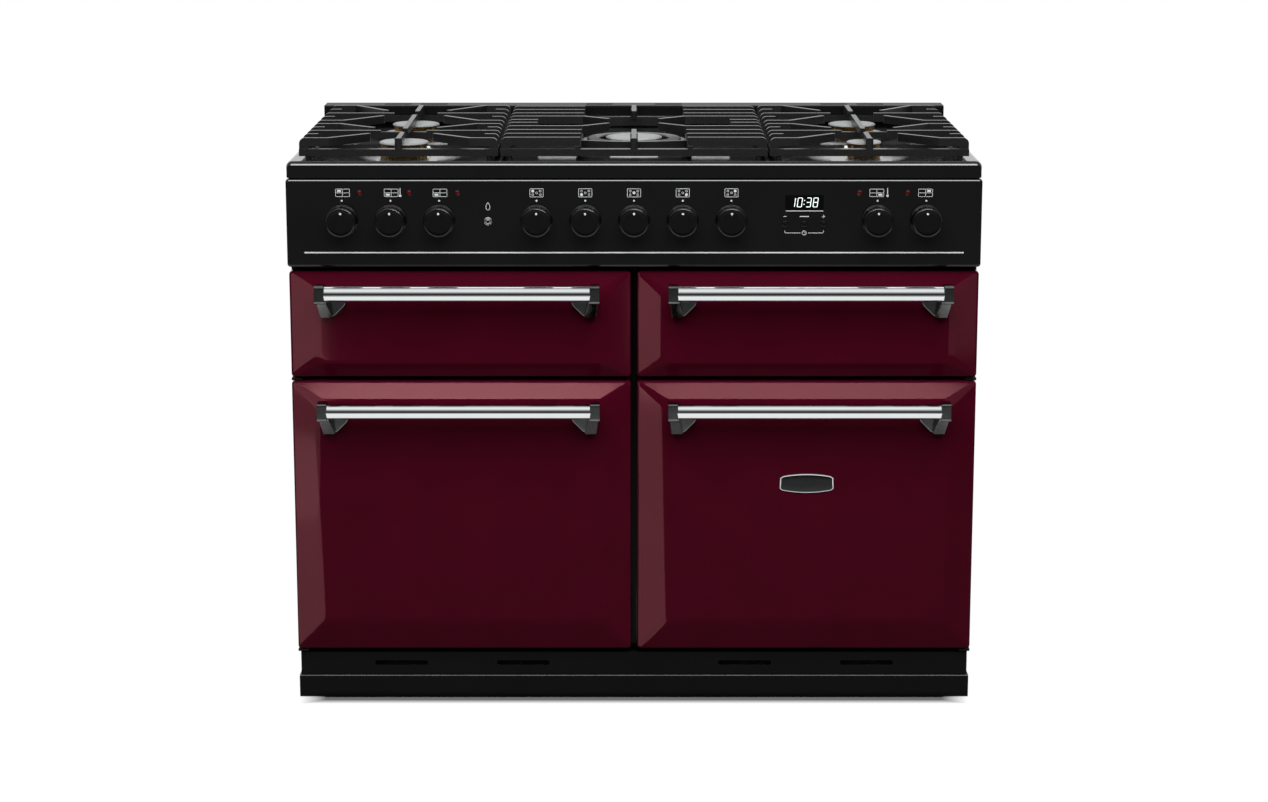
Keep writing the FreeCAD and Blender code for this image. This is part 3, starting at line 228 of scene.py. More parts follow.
def hull_of(bm, points, edge, material):
    """A solid stretched over some points, with its edges rounded."""
    solid = bmesh.new()
    for point in points:
        solid.verts.new(point)
    hull = bmesh.ops.convex_hull(solid, input=solid.verts)
    spare = set(hull["geom_interior"] + hull["geom_unused"]) & set(solid.verts)
    bmesh.ops.delete(solid, geom=list(spare), context="VERTS")
    bmesh.ops.dissolve_limit(solid, angle_limit=math.radians(1), verts=solid.verts, edges=solid.edges)
    bmesh.ops.bevel(solid, geom=solid.edges, offset=edge * MM, segments=3, profile=0.6, affect="EDGES",
                    clamp_overlap=True)
    for face in solid.faces:
        face.material_index = material
    pour(bm, plain_mesh("hull", solid))


def pour(bm, mesh):
    """Add a mesh to a bmesh and let the mesh go."""
    bm.from_mesh(mesh)
    bpy.data.meshes.remove(mesh)


def plain_mesh(name, bm):
    """Turn a finished bmesh into a mesh with its faces outward."""
    bmesh.ops.recalc_face_normals(bm, faces=bm.faces)
    mesh = bpy.data.meshes.new(name)
    bm.to_mesh(mesh)
    bm.free()
    return mesh


def merged_copy(node):
    """A bmesh of a CAD node's mesh with its doubled points merged."""
    bm = bmesh.new()
    bm.from_mesh(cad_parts[node].data)
    bmesh.ops.remove_doubles(bm, verts=bm.verts, dist=0.01 * MM)
    return bm


def held(data):
    """Put a mesh, light or camera in the scene as an object of the same name."""
    made = bpy.data.objects.new(data.name, data)
    bpy.context.scene.collection.objects.link(made)
    return made


def evaluated(holder):
    """The plain mesh that an object's modifiers make, with the object then taken away."""
    bpy.context.view_layer.update()
    graph = bpy.context.evaluated_depsgraph_get()
    mesh = bpy.data.meshes.new_from_object(holder.evaluated_get(graph))
    holder.modifiers.clear()
    bpy.data.objects.remove(holder)
    return mesh


def modified(mesh, kind, **settings):
    """The mesh that one modifier makes of another mesh."""
    holder = held(mesh)
    modifier = holder.modifiers.new(kind, kind)
    for key, value in settings.items():
        setattr(modifier, key, value)
    return evaluated(holder)


def cut_out(mesh, cutters):
    """Cut the solids of one bmesh out of a mesh."""
    tool = held(plain_mesh("cutter", cutters))
    result = modified(mesh, "BOOLEAN", operation="DIFFERENCE", solver="EXACT", object=tool)
    bpy.data.objects.remove(tool)
    return result


def piece(name, mesh, finishes, body, replaces=(), sharp=32):
    """Put a mesh in the scene with its finishes, its body and the CAD nodes that it stands for."""
    if isinstance(mesh, bmesh.types.BMesh):
        mesh = plain_mesh(name, mesh)
    mesh.name = name
    for index, finish_name in enumerate(finishes):
        if index == len(mesh.materials):
            mesh.materials.append(None)
        mesh.materials[index] = finish(finish_name)
    mesh.shade_smooth()
    mesh.set_sharp_from_angle(angle=math.radians(sharp))
    mesh = modified(mesh, "WEIGHTED_NORMAL", keep_sharp=True)
    mesh.name = name
    made = held(mesh)
    made.name = name
    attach(made, body)
    if replaces:
        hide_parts(*replaces)


# Node helpers, for materials and for geometry trees


def add(tree, kind, inputs=None, **settings):
    """Add one node with its settings and links. Each of its inputs is a value, the socket that feeds it, or a
    node whose first output does."""
    made = tree.nodes.new(kind)
    for key, value in settings.items():
        setattr(made, key, value)
    for key, value in (inputs or {}).items():
        if isinstance(value, bpy.types.Node):
            value = value.outputs[0]
        if isinstance(value, bpy.types.NodeSocket):
            tree.links.new(value, made.inputs[key])
        else:
            made.inputs[key].default_value = value
    return made


def geometry_tree(name, sockets):
    """A geometry tree with named inputs and a finish, and its input node's sockets."""
    tree = bpy.data.node_groups.new(name, "GeometryNodeTree")
    tree.is_modifier = True
    for label, kind in {**sockets, "Finish": "Material"}.items():
        tree.interface.new_socket(label, in_out="INPUT", socket_type="NodeSocket" + kind)
    tree.interface.new_socket("Geometry", in_out="OUTPUT", socket_type="NodeSocketGeometry")
    return tree, tree.nodes.new("NodeGroupInput").outputs


def close_tree(tree, given, points, instance, turn=None, place=None):
    """End a tree: put the instance on the points, realize it, move it and set its material."""
    spread = {"Points": points, "Instance": instance}
    if turn is not None:
        spread["Rotation"] = turn
    made = add(tree, "GeometryNodeInstanceOnPoints", spread)
    made = add(tree, "GeometryNodeRealizeInstances", {"Geometry": made})
    if place is not None:
        made = add(tree, "GeometryNodeTransform", {"Geometry": made, "Translation": place})
    made = add(tree, "GeometryNodeSetMaterial", {"Geometry": made, "Material": given["Finish"]})
    add(tree, "NodeGroupOutput", {"Geometry": made})
    return tree


def grow(bm, tree, values):
    """Run a geometry tree with these named values and add the mesh that it makes to a bmesh."""
    holder = held(bpy.data.meshes.new(tree.name))
    modifier = holder.modifiers.new("grow", "NODES")
    modifier.node_group = tree
    for item in tree.interface.items_tree:
        if item.item_type == "SOCKET" and item.in_out == "INPUT":
            modifier[item.identifier] = values[item.name]
    pour(bm, evaluated(holder))


def tooth_tree():
    """Teeth round a burner head, with the flame slots between them."""
    tree, given = geometry_tree("flame_slots", {
        "Teeth": "Int", "Ring Radius": "Float", "Tooth": "Vector", "Centre": "Vector"})
    ring = add(tree, "GeometryNodeMeshCircle", {"Vertices": given["Teeth"], "Radius": given["Ring Radius"]})
    tooth = add(tree, "GeometryNodeMeshCube", {"Size": given["Tooth"]})
    place = add(tree, "GeometryNodeInputPosition")
    parts = add(tree, "ShaderNodeSeparateXYZ", {0: place}).outputs
    angle = add(tree, "ShaderNodeMath", {0: parts["Y"], 1: parts["X"]}, operation="ARCTAN2")
    turn = add(tree, "ShaderNodeCombineXYZ", {"Z": angle})
    return close_tree(tree, given, ring, tooth, turn, given["Centre"])


def wire_tree():
    """A row of straight round wires, spaced evenly along a line."""
    tree, given = geometry_tree("wire_row", {
        "Wires": "Int", "First": "Vector", "Step": "Vector", "Run": "Vector", "Wire Radius": "Float"})
    row = add(tree, "GeometryNodeMeshLine", {
        "Count": given["Wires"], "Start Location": given["First"], "Offset": given["Step"]}, mode="OFFSET")
    middle = add(tree, "GeometryNodeCurvePrimitiveLine", {"End": given["Run"]})
    ring = add(tree, "GeometryNodeCurvePrimitiveCircle", {"Resolution": 10, "Radius": given["Wire Radius"]})
    wire = add(tree, "GeometryNodeCurveToMesh", {"Fill Caps": True, "Curve": middle, "Profile Curve": ring})
    return close_tree(tree, given, row, wire)


def screw_tree():
    """A row of small tapered screw heads, spaced evenly along a line. They point along one direction."""
    tree, given = geometry_tree("screw_row", {
        "Screws": "Int", "First": "Vector", "Step": "Vector", "Head Radius": "Float", "Head Height": "Float",
        "Turn": "Vector"})
    row = add(tree, "GeometryNodeMeshLine", {
        "Count": given["Screws"], "Start Location": given["First"], "Offset": given["Step"]}, mode="OFFSET")
    base, top_share = given["Head Radius"], 0.55
    top = add(tree, "ShaderNodeMath", {0: base, 1: top_share}, operation="MULTIPLY")
    head = add(tree, "GeometryNodeMeshCone", {
        "Vertices": 18, "Side Segments": 1, "Depth": given["Head Height"], "Radius Bottom": base,
        "Radius Top": top})
    return close_tree(tree, given, row, head, given["Turn"])


# Finishes. Each is a real material and how its surface was made, except the painted highlight and painted
# shade marked below.


def surface(colour, rough, mottle, patch, grain, relief, metallic=0.0, specular=0.5, **more):
    """How a finish looks. Its colour is one of the cooker's colours or a hex value, and rough holds its least
    and most roughness. mottle is how much darker its patches are, patch their size and grain the size of its
    relief in millimetres, and relief its height in micrometres. brush squeezes the grain along X into lines.
    """
    return dict(colour=colour, rough=rough, mottle=mottle, patch=patch, grain=grain, relief=relief,
                metallic=metallic, specular=specular, **more)


FINISHES = {
    # Vitreous enamel, dipped and fired: a deep glassy colour with a faint orange peel
    "vitreous_burgundy": surface("burgundy_enamel", (0.07, 0.1), 0.12, 70.0, 5.0, 9.0, specular=0.036,
                                 sheen_tint="ffa8ae"),
    # The same glass in black, on flat panels
    "vitreous_black": surface("black_enamel", (0.07, 0.11), 0.2, 90.0, 5.0, 7.0, specular=0.4),
    # Black enamel made darker and duller on the low trims: painted shade, as they catch little light
    "plinth_enamel": surface("09090a", (0.14, 0.2), 0.2, 80.0, 4.0, 6.0, specular=0.05),
    # Pale enamel on a rolled bead along the top edge of the kick strip: a painted highlight, where that edge
    # catches light from above
    "rubbed_enamel": surface("5c5c5d", (0.2, 0.3), 0.3, 20.0, 1.5, 4.0),
    # Black enamel fired to a satin face, on the trim behind the hob
    "satin_black": surface("black_enamel", (0.38, 0.46), 0.2, 60.0, 2.0, 14.0, specular=0.12),
    # Acid-resisting enamel on sand-cast iron: satin, with a fine pebbled skin
    "iron_casting_enamel": surface("iron_enamel", (0.27, 0.33), 0.12, 12.0, 1.1, 4.0),
    # Oven enamel with pale specks, easy to wipe
    "speckled_oven_enamel": surface("oven_enamel", (0.22, 0.34), 0.1, 50.0, 2.5, 10.0, specular=0.4,
                                    speck="b9bcc0", speck_size=2.2),
    # Satin enamel on pressed burner caps, a little blotched by heat
    "satin_cap_enamel": surface("cap_enamel", (0.34, 0.46), 0.18, 22.0, 0.9, 22.0),
    # Moulded phenolic, polished by its mould
    "polished_phenolic": surface("knob_black", (0.06, 0.1), 0.2, 15.0, 1.6, 4.0),
    # Bright trivalent chrome on ground and buffed steel tube
    "bright_chrome": surface("chrome", (0.02, 0.035), 0.03, 30.0, 0.8, 0.8, metallic=1.0, brush=0.02),
    # Black nickel on die-cast zinc, tumbled
    "black_nickel": surface("bracket_metal", (0.08, 0.14), 0.2, 9.0, 1.2, 3.0, metallic=1.0),
    # Lathe-turned brass, lightly tarnished by flame
    "turned_brass": surface("brass", (0.26, 0.42), 0.35, 8.0, 0.7, 8.0, metallic=1.0),
    # Pressure die-cast aluminium, shot blasted
    "cast_aluminium": surface("c9c8c2", (0.34, 0.5), 0.15, 14.0, 0.8, 20.0, metallic=1.0),
    # Hot-dip galvanised sheet: flat grey with crystals of spangle
    "galvanised_sheet": surface("a4a8aa", (0.3, 0.48), 0.1, 40.0, 3.0, 6.0, metallic=1.0, spangle=14.0),
    # Polyester powder coat over steel: a low sheen with a fine leathery texture
    "powder_coat": surface("101011", (0.4, 0.52), 0.15, 30.0, 0.9, 24.0, specular=0.4),
    # Drawn and chromed steel wire
    "bright_wire": surface("cdd0d2", (0.12, 0.22), 0.1, 20.0, 1.5, 3.0, metallic=1.0),
    # Nickel alloy heater tube, dulled and tinted brown by heat
    "heater_tube": surface("4b4440", (0.42, 0.6), 0.4, 26.0, 0.8, 14.0, metallic=0.8),
    # Pressed steel hinges, phosphated black and oiled
    "black_phosphate": surface("0c0c0d", (0.55, 0.7), 0.3, 9.0, 0.8, 9.0, specular=0.08),
    # Zinc-plated steel brackets, pins and motor cans
    "zinc_plate": surface("b7b9b8", (0.26, 0.4), 0.14, 12.0, 1.0, 7.0, metallic=1.0),
    # Moulded silicone rubber, dark grey with a dusty bloom
    "silicone_rubber": surface("242526", (0.6, 0.78), 0.2, 10.0, 0.8, 18.0, specular=0.35),
    # Glass-filled nylon, moulded black
    "moulded_nylon": surface("151516", (0.42, 0.55), 0.15, 9.0, 0.7, 16.0, specular=0.4),
    # Smoked acrylic over the clock
    "smoked_acrylic": surface("020202", (0.05, 0.09), 0.2, 30.0, 6.0, 1.0, specular=0.3),
    # Screen-printed silver ink, slightly granular
    "print_silver": surface("print_silver", (0.38, 0.5), 0.1, 6.0, 0.4, 3.0, metallic=0.1, specular=0.4),
    # Glazed alumina of the spark electrodes
    "glazed_ceramic": surface("e8e5dc", (0.14, 0.24), 0.06, 5.0, 1.0, 3.0),
    # Cast black plate of the badge, lacquered
    "badge_lacquer": surface("161718", (0.16, 0.26), 0.4, 7.0, 0.6, 10.0, metallic=0.4),
    # Red polycarbonate lens, dimly lit from behind
    "lamp_lens": surface("lamp_red", (0.1, 0.16), 0.25, 2.0, 0.8, 4.0, glow=0.06),
    # Vacuum fluorescent digits behind the acrylic
    "lit_digits": surface("digits", (0.3, 0.4), 0.05, 2.0, 0.4, 1.0, specular=0.3, glow=0.75),
}


made_finishes = {}


def finish(name):
    """The procedural material of one finish, made once."""
    if name in made_finishes:
        return made_finishes[name]
    look = FINISHES[name]
    colours, code = bpy.context.scene.cooker_colours, look["colour"]
    base = tuple(getattr(colours, code)) if hasattr(colours, code) else linear(code)
    material = made_finishes[name] = bpy.data.materials.new(name)
    material.use_nodes = True
    tree = material.node_tree
    shader = tree.nodes["Principled BSDF"]
    shader.inputs["Metallic"].default_value = look["metallic"]
    shader.inputs["Specular IOR Level"].default_value = look["specular"]
    if "sheen_tint" in look:
        shader.inputs["Specular Tint"].default_value = linear(look["sheen_tint"])
    place = add(tree, "ShaderNodeTexCoord").outputs["Object"]
    grain_place = place
    if "brush" in look:
        grain_place = add(tree, "ShaderNodeMapping", {"Scale": (look["brush"], 1.0, 1.0), "Vector": place})
    patches = add(tree, "ShaderNodeTexNoise", {
        "Scale": 1 / (look["patch"] * MM), "Detail": 3.0, "Vector": place})
    grain = add(tree, "ShaderNodeTexNoise", {
        "Scale": 1 / (look["grain"] * MM), "Detail": 2.0, "Vector": grain_place})
    shade = tuple(part * (1 - look["mottle"]) for part in base[:3]) + (1.0,)
    spread = add(tree, "ShaderNodeMapRange", {"Value": patches, "From Min": 0.3, "From Max": 0.7})
    colour = add(tree, "ShaderNodeMix", {0: spread, 6: base, 7: shade}, data_type="RGBA").outputs[2]
    if "speck" in look:
        colour = specked(tree, look, place, grain, colour)
    if "spangle" in look:
        colour = spangled(tree, look, place, colour)
    least, most = look["rough"]
    gloss = add(tree, "ShaderNodeMapRange", {
        "Value": grain, "From Min": 0.35, "From Max": 0.65, "To Min": least, "To Max": most})
    bump = add(tree, "ShaderNodeBump", {"Distance": look["relief"] * MICROMETRE, "Height": grain})
    tree.links.new(colour, shader.inputs["Base Color"])
    tree.links.new(gloss.outputs[0], shader.inputs["Roughness"])
    tree.links.new(bump.outputs[0], shader.inputs["Normal"])
    if "glow" in look:
        shader.inputs["Emission Color"].default_value = base
        shader.inputs["Emission Strength"].default_value = look["glow"]
    return material


def specked(tree, look, place, grain, colour):
    """Pale specks over a colour, in a part of the cells."""
    inner, outer, least_grain = 0.13, 0.19, 0.42
    cells = add(tree, "ShaderNodeTexVoronoi", {"Scale": 1 / (look["speck_size"] * MM), "Vector": place})
    away = cells.outputs["Distance"]
    dots = add(tree, "ShaderNodeMapRange", {
        "Value": away, "From Min": inner, "From Max": outer, "To Min": 1.0, "To Max": 0.0})
    some = add(tree, "ShaderNodeMath", {0: grain, 1: least_grain}, operation="GREATER_THAN")
    mask = add(tree, "ShaderNodeMath", {0: dots, 1: some}, operation="MULTIPLY")
    speck = linear(look["speck"])
    return add(tree, "ShaderNodeMix", {0: mask, 6: colour, 7: speck}, data_type="RGBA").outputs[2]


def spangled(tree, look, place, colour):
    """Zinc crystals that are a little lighter or darker than each other."""
    darkest, lightest = 0.72, 1.12
    cells = add(tree, "ShaderNodeTexVoronoi", {"Scale": 1 / (look["spangle"] * MM), "Vector": place})
    crystal = add(tree, "ShaderNodeSeparateColor", {0: cells.outputs["Color"]})
    level = add(tree, "ShaderNodeMapRange", {"Value": crystal, "To Min": darkest, "To Max": lightest})
    return add(tree, "ShaderNodeVectorMath", {0: colour, 1: level}, operation="MULTIPLY").outputs[0]


# Doors


def door_rows(low, high, side, top, bottom, sizes):
    """Rings of points over a door, from its back rim round its edge and up the bevels to the flat front."""
    depth = sizes.door_bevel_depth / MM
    rim = sizes.door_rim / MM
    corner = sizes.door_corner / MM
    back = (high.y - FACE_Y) / MM
    liner_gap = 2.2
    turn_in = 0.6
    outer_share = 0.09
    soft_share = 0.17
    edge_steps, soft_steps = 8, 14
    corner_share, widest_corner = 0.22, 15.0
    edge_share = 0.68
    rise = sizes.door_edge / MM * edge_share
    places = [(rim, rim, rim, back - liner_gap), (rim, rim, rim, back), (turn_in, turn_in, turn_in, back),
              (0.0, 0.0, 0.0, back - turn_in)]
    for step in range(edge_steps):
        near = 1 - step / edge_steps
        far = 1 - near
        inset = outer_share * far ** 2
        r = far ** 2 * depth * (1 - outer_share) + 2 * near * far * depth + near ** 2 * (depth + rise)
        places.append((inset * side, inset * top, inset * bottom, r))
    soft = [1 - soft_share + 2 * soft_share * step / soft_steps for step in range(soft_steps + 1)]
    for share in [outer_share] + soft:
        flat = (1 + soft_share - share) ** 2 / (4 * soft_share) if share > 1 - soft_share else 1 - share
        places.append((share * side, share * top, share * bottom, depth * flat))
    last = 1 + soft_share
    places.append((last * side + 1, last * top + 1, last * bottom + 1, 0.0))
    rows = []
    for from_side, from_top, from_bottom, r in places:
        start = (low.x / MM + from_side, low.z / MM + from_bottom)
        end = (high.x / MM - from_side, high.z / MM - from_top)
        outline = rounded_outline(start, end, min(corner + from_side * corner_share, widest_corner))
        rows.append([at(x, r, z) for x, z in outline])
    return rows


def hinge_cuts(side, upper, low, high):
    """Room for the lugs or pins of a door's hinges."""
    cuts = bmesh.new()
    if upper:
        lug_z = low.z / MM + 14.3
        for wall, inward in ((low.x / MM, 1), (high.x / MM, -1)):
            near = wall + inward * 5
            far = near + inward * 11
            block(cuts, at(min(near, far), 15.5, low.z / MM - 5), at(max(near, far), 45, lug_z + 5))
            pin = near - (3.8 if inward > 0 else 0.8)
            rod(cuts, 2.8, 4.6, at(pin, 20, lug_z), "X", 24)
    else:
        x_pin = (high.x if side > 0 else low.x) / MM - side * 8
        for z in (low.z / MM - 5, high.z / MM - 10):
            rod(cuts, 3.3, 15, at(x_pin, 22, z), "Z", 24)
    return cuts


def make_doors(sizes):
    """The four enamelled door fronts, cut for their hinges."""
    for name, (side, upper) in DOORS.items():
        low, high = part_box(name + "_panel")
        row = "upper" if upper else "lower"
        top, bottom = (getattr(sizes, f"{row}_{end}_bevel") / MM for end in ("top", "bottom"))
        bm = bmesh.new()
        skin(bm, door_rows(low, high, sizes.door_side_bevel / MM, top, bottom, sizes))
        mesh = cut_out(plain_mesh(name, bm), hinge_cuts(side, upper, low, high))
        piece(name + "_front", mesh, ["vitreous_burgundy"], name, [name + "_panel"], 38)


# Handles

BAR_REACH = 42    # from the panel front to the middle of a bar


def end_block(bm, x0, x1, z, sizes):
    """The rounded block that grips one end of a bar."""
    front = -BAR_REACH - sizes.bar_radius / MM
    back, corner = -27, 5
    half = sizes.bracket_height / MM / 2
    edge, step, flat = 1.3, 0.4, 0.5
    insets = ((0.0, edge), (step, step), (edge, 0.0), (edge + flat, 0.0))
    places = [(x0 + u, inset) for u, inset in insets] + [(x1 - u, inset) for u, inset in reversed(insets)]
    rows = []
    for x, inset in places:
        start, end = (front + inset, z - half + inset), (back - inset, z + half - inset)
        rows.append([at(x, r, height) for r, height in rounded_outline(start, end, corner - inset)])
    skin(bm, rows, 1)


def bracket_foot(bm, x_end, inward, z, sizes):
    """The arm from a bar's end block down to its foot on the door, slanted on its inner side."""
    width = sizes.bracket_width / MM
    reach = sizes.bracket_foot_width / MM
    drop = sizes.bracket_foot_drop / MM
    slope = ((-45, -10), (-43, -14.5), (-17, -drop + 0.5), (0, -drop + 0.5), (0, -16), (-28, -10))
    leg = []
    for r, height in slope:
        down = min(max((-height - 14.5) / (drop - 15), 0), 1)
        leg += [at(x_end + inward * x, r, z + height) for x in (2.5 + 3.5 * down, width + 1.5 + 7.5 * down)]
    web = ((width - 4, -16), (reach - 4, -16), (reach, -19.5), (reach - 3, -25), (reach * 0.62, -drop + 3.5),
           (reach * 0.52, -drop + 1), (width - 4, -drop + 1))
    hull_of(bm, leg, 1.2, 1)
    hull_of(bm, [at(x_end + inward * x, r, z + height) for x, height in web for r in (0.0, -9.0)], 1.6, 1)


def make_handles(sizes):
    """A chrome bar on two plated brackets for each door."""
    end_round, lap, axis_drop = 0.6, 1.5, 15
    for name in DOORS:
        low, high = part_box(name + "_handle")
        x0, x1 = low.x / MM, high.x / MM
        z = high.z / MM - axis_drop
        width = sizes.bracket_width / MM
        radius = sizes.bar_radius / MM
        run = x1 - x0 - 2 * (width - lap)
        bm = bmesh.new()
        bar = ((0, 0), (radius - end_round, 0), (radius, end_round), (radius, run / 2),
               (radius, run - end_round), (radius - end_round, run), (0, run))
        turned(bm, bar, at(x0 + width - lap, -BAR_REACH, z), "X", 96)
        for x_end, inward in ((x0, 1), (x1, -1)):
            near = x_end + inward * width
            end_block(bm, min(x_end, near), max(x_end, near), z, sizes)
            bracket_foot(bm, x_end, inward, z, sizes)
        piece(name + "_bar", bm, ["bright_chrome", "black_nickel"], name, [name + "_handle"], 40)


# Control panel

CLOCK_BUTTONS = ("clock_minus_button", "clock_mode_button", "clock_plus_button")
CLOCK_BUTTON_HOLE = 5.3    # radius


def make_panel(sizes):
    """The enamelled panel, with soft edges and the holes for its knobs, buttons, lamps and clock."""
    low, high = PANEL_LOW, PANEL_HIGH
    depth = (high.y - low.y) / MM
    sheet = 2.0
    soft = 4.5
    places = [(sheet, sheet), (sheet, depth), (0.0, depth)]
    places += arc((soft, soft), soft, 180, 270, 9)
    rows = []
    for inset, r in places:
        start = (low.x / MM + inset, low.z / MM + inset)
        end = (high.x / MM - inset, high.z / MM - inset)
        rows.append([at(x, r, z) for x, z in rounded_outline(start, end, max(5 - inset * 0.6, 2))])
    bm = bmesh.new()
    skin(bm, rows)
    cuts = bmesh.new()
    ahead, through = 5, 15
    knob_hole, ignition_hole, lamp_hole = 4.6, 4.8, 4.3
    glass_low, glass_high = clock_window()
    block(cuts, at(glass_low[0], -ahead, glass_low[1]), at(glass_high[0], through - ahead, glass_high[1]))
    holes = [(middle_of(name), knob_hole) for name in KNOBS] + [(middle_of("ignition_button"), ignition_hole)]
    holes += [(middle_of(name), CLOCK_BUTTON_HOLE) for name in CLOCK_BUTTONS]
    holes += [(place, lamp_hole) for place in lamp_places()]
    for (x, z), radius in holes:
        rod(cuts, radius, through, at(x, -ahead, z), "Y", 32)
    mesh = cut_out(plain_mesh("control_panel_enamel", bm), cuts)
    piece("control_panel_enamel", mesh, ["vitreous_black"], "casing", ["control_panel"], 38)


def clock_window():
    """Low and high corner of the clock's window, in millimetres."""
    half, bottom, top = 30.3, 92.2, 114.9
    x, base = middle_of("clock_module")[0], PANEL_LOW.z / MM
    return (x - half, base + bottom), (x + half, base + top)


def lamp_places():
    """Places of the five lamps, in millimetres, as shares of the knob pitch."""
    pitches_to_last_knob = 6
    pitch = middle_of(KNOBS[-1])[0] / pitches_to_last_knob
    height = middle_of("indicator_lenses")[1]
    return [(share * pitch, height) for share in (-5.636, -4.616, -3.624, 4.629, 5.618)]


# Printed marks are lines and spots of ink, in millimetres across and up.

INK = (0.05, -0.12)    # its back and front, behind the panel front


def line(bm, points, width, depths=INK):
    """Flat strokes with square ends along a run of points."""
    for start, end in zip(points, points[1:]):
        start, end = Vector(start), Vector(end)
        along = (end - start).normalized() * width / 2
        side = Vector((-along.y, along.x))
        corners = (start - along - side, end + along - side, end + along + side, start - along + side)
        skin(bm, [[at(x, r, z) for x, z in corners] for r in depths])


def box_mark(bm, x, z, width, height, filled=()):
    """A drawn rectangle. One with filled cells is split into four."""
    left, right, low, high = x - width / 2, x + width / 2, z - height / 2, z + height / 2
    strokes = [((left, low), (right, low)), ((left, high), (right, high)), ((left, low), (left, high)),
               ((right, low), (right, high))]
    if filled:
        strokes += [((x, low), (x, high)), ((left, z), (right, z))]
    stroke = 0.7
    for ends in strokes:
        line(bm, ends, stroke)
    half, fill = width * 0.07, height * 0.26
    for column, row in filled:
        cx, cz = x + column * width / 4, z + row * height / 4
        line(bm, ((cx - half, cz), (cx + half, cz)), fill)


def spot(bm, x, z, radius):
    """A filled round mark."""
    back, front = INK
    turned(bm, ((0, front), (radius, front), (radius, back), (0, back)), at(x, 0, z), "Y", 20)


def ring_mark(bm, x, z, radius, width, steps=28):
    """A round mark that is drawn as a line."""
    inner, outer = radius - width / 2, radius + width / 2
    back, front = INK
    profile = ((inner, front), (outer, front), (outer, back), (inner, back))
    turned(bm, profile, at(x, 0, z), "Y", steps, 0, True)


def hob_mark(bm, x, z, lit):
    """The hob symbol: an outline with five rings, one of them filled."""
    width, height = 21.0, 13.0
    lit_radius, ring_radius, ring_width = 2.3, 1.5, 0.6
    box_mark(bm, x, z, width, height)
    for index, (u, v) in enumerate(((-0.28, 0.22), (-0.28, -0.22), (0.0, 0.0), (0.28, -0.22), (0.28, 0.22))):
        if index == lit:
            spot(bm, x + u * width, z + v * height, lit_radius)
        else:
            ring_mark(bm, x + u * width, z + v * height, ring_radius, ring_width, 16)


# The cell that an oven knob's symbol fills, by the knob's place in the row
OVEN_CELLS = {0: (-1, 1), 1: (-1, -1), 2: (-1, -1), 8: (1, -1), 9: (1, 1)}
HEAT_KNOBS = (1, 8)
# Outline of the flame over the ignition button
FLAME = ((0, 8.5), (2.6, 4.0), (3.3, 0.5), (2.0, -3.0), (0, -4.2), (-2.0, -3.0), (-3.3, 0.5), (-2.6, 4.0),
         (0, 8.5))
# Lines round the clock's window and buttons: width and points
CLOCK_LINES = (
    (1.1, (-29, 809.2), (29, 809.2)), (0.9, (-32.5, 800.4), (-28.5, 800.4)),
    (0.9, (28.5, 800.4), (32.5, 800.4)), (0.9, (30.5, 798.4), (30.5, 802.4)),
    (1.3, (-6.5, 800.4), (6.5, 800.4)),
    (0.8, (-30.5, 777.5), (-30.5, 774.2), (-6.5, 774.2)), (0.8, (30.5, 777.5), (30.5, 774.2), (6.5, 774.2)),
    (0.6, (0, 776.3), (0, 774.2), (1.4, 774.2)),
)


def make_marks(sizes):
    """The bright line along the panel and all that is printed on it."""
    bm = bmesh.new()
    line_z, half_line = 742.7, 521.0
    line(bm, ((-half_line, line_z), (half_line, line_z)), sizes.line_height / MM, (-0.35, 0.1))
    icon_z, spot_z, flame_z, dial_z = 838.0, 825.4, 814.5, 774.2
    oven_width, oven_height, aside, scale_aside = 22.0, 12.0, 1.5, 15.5
    first_hob_knob = 3
    for index, name in enumerate(KNOBS):
        x = middle_of(name)[0]
        spot(bm, x, spot_z, 1.5)
        if index in OVEN_CELLS:
            x_icon = x + (aside if index < first_hob_knob else -aside)
            box_mark(bm, x_icon, icon_z, oven_width, oven_height, [OVEN_CELLS[index]])
        else:
            hob_mark(bm, x, icon_z, index - first_hob_knob)
        if index in HEAT_KNOBS:
            x_scale = x + scale_aside
            line(bm, ((x_scale, icon_z - 3), (x_scale, icon_z + 7)), 1.2)
            spot(bm, x_scale, icon_z - 4.6, 2.0)
    x = middle_of("ignition_button")[0]
    line(bm, [(x + u, flame_z + v) for u, v in FLAME], 0.9)
    x = middle_of("clock_module")[0]
    for width, *points in CLOCK_LINES:
        line(bm, [(x + u, z) for u, z in points], width)
    ring_mark(bm, x, dial_z, 3.3, 0.8)
    piece("panel_print", bm, ["print_silver"], "casing")


# The clock's digits, from straight segments whose ends are given across and up
SEGMENTS = {
    "top": ((0, 1), (1, 1)), "middle": ((0, 0), (1, 0)), "bottom": ((0, -1), (1, -1)),
    "upper_left": ((0, 0), (0, 1)), "lower_left": ((0, -1), (0, 0)),
    "upper_right": ((1, 0), (1, 1)), "lower_right": ((1, -1), (1, 0)),
}
DIGITS = {
    "1": ("upper_right", "lower_right"),
    "0": ("top", "bottom", "upper_left", "lower_left", "upper_right", "lower_right"),
    "3": ("top", "middle", "bottom", "upper_right", "lower_right"),
    "8": tuple(SEGMENTS),
}


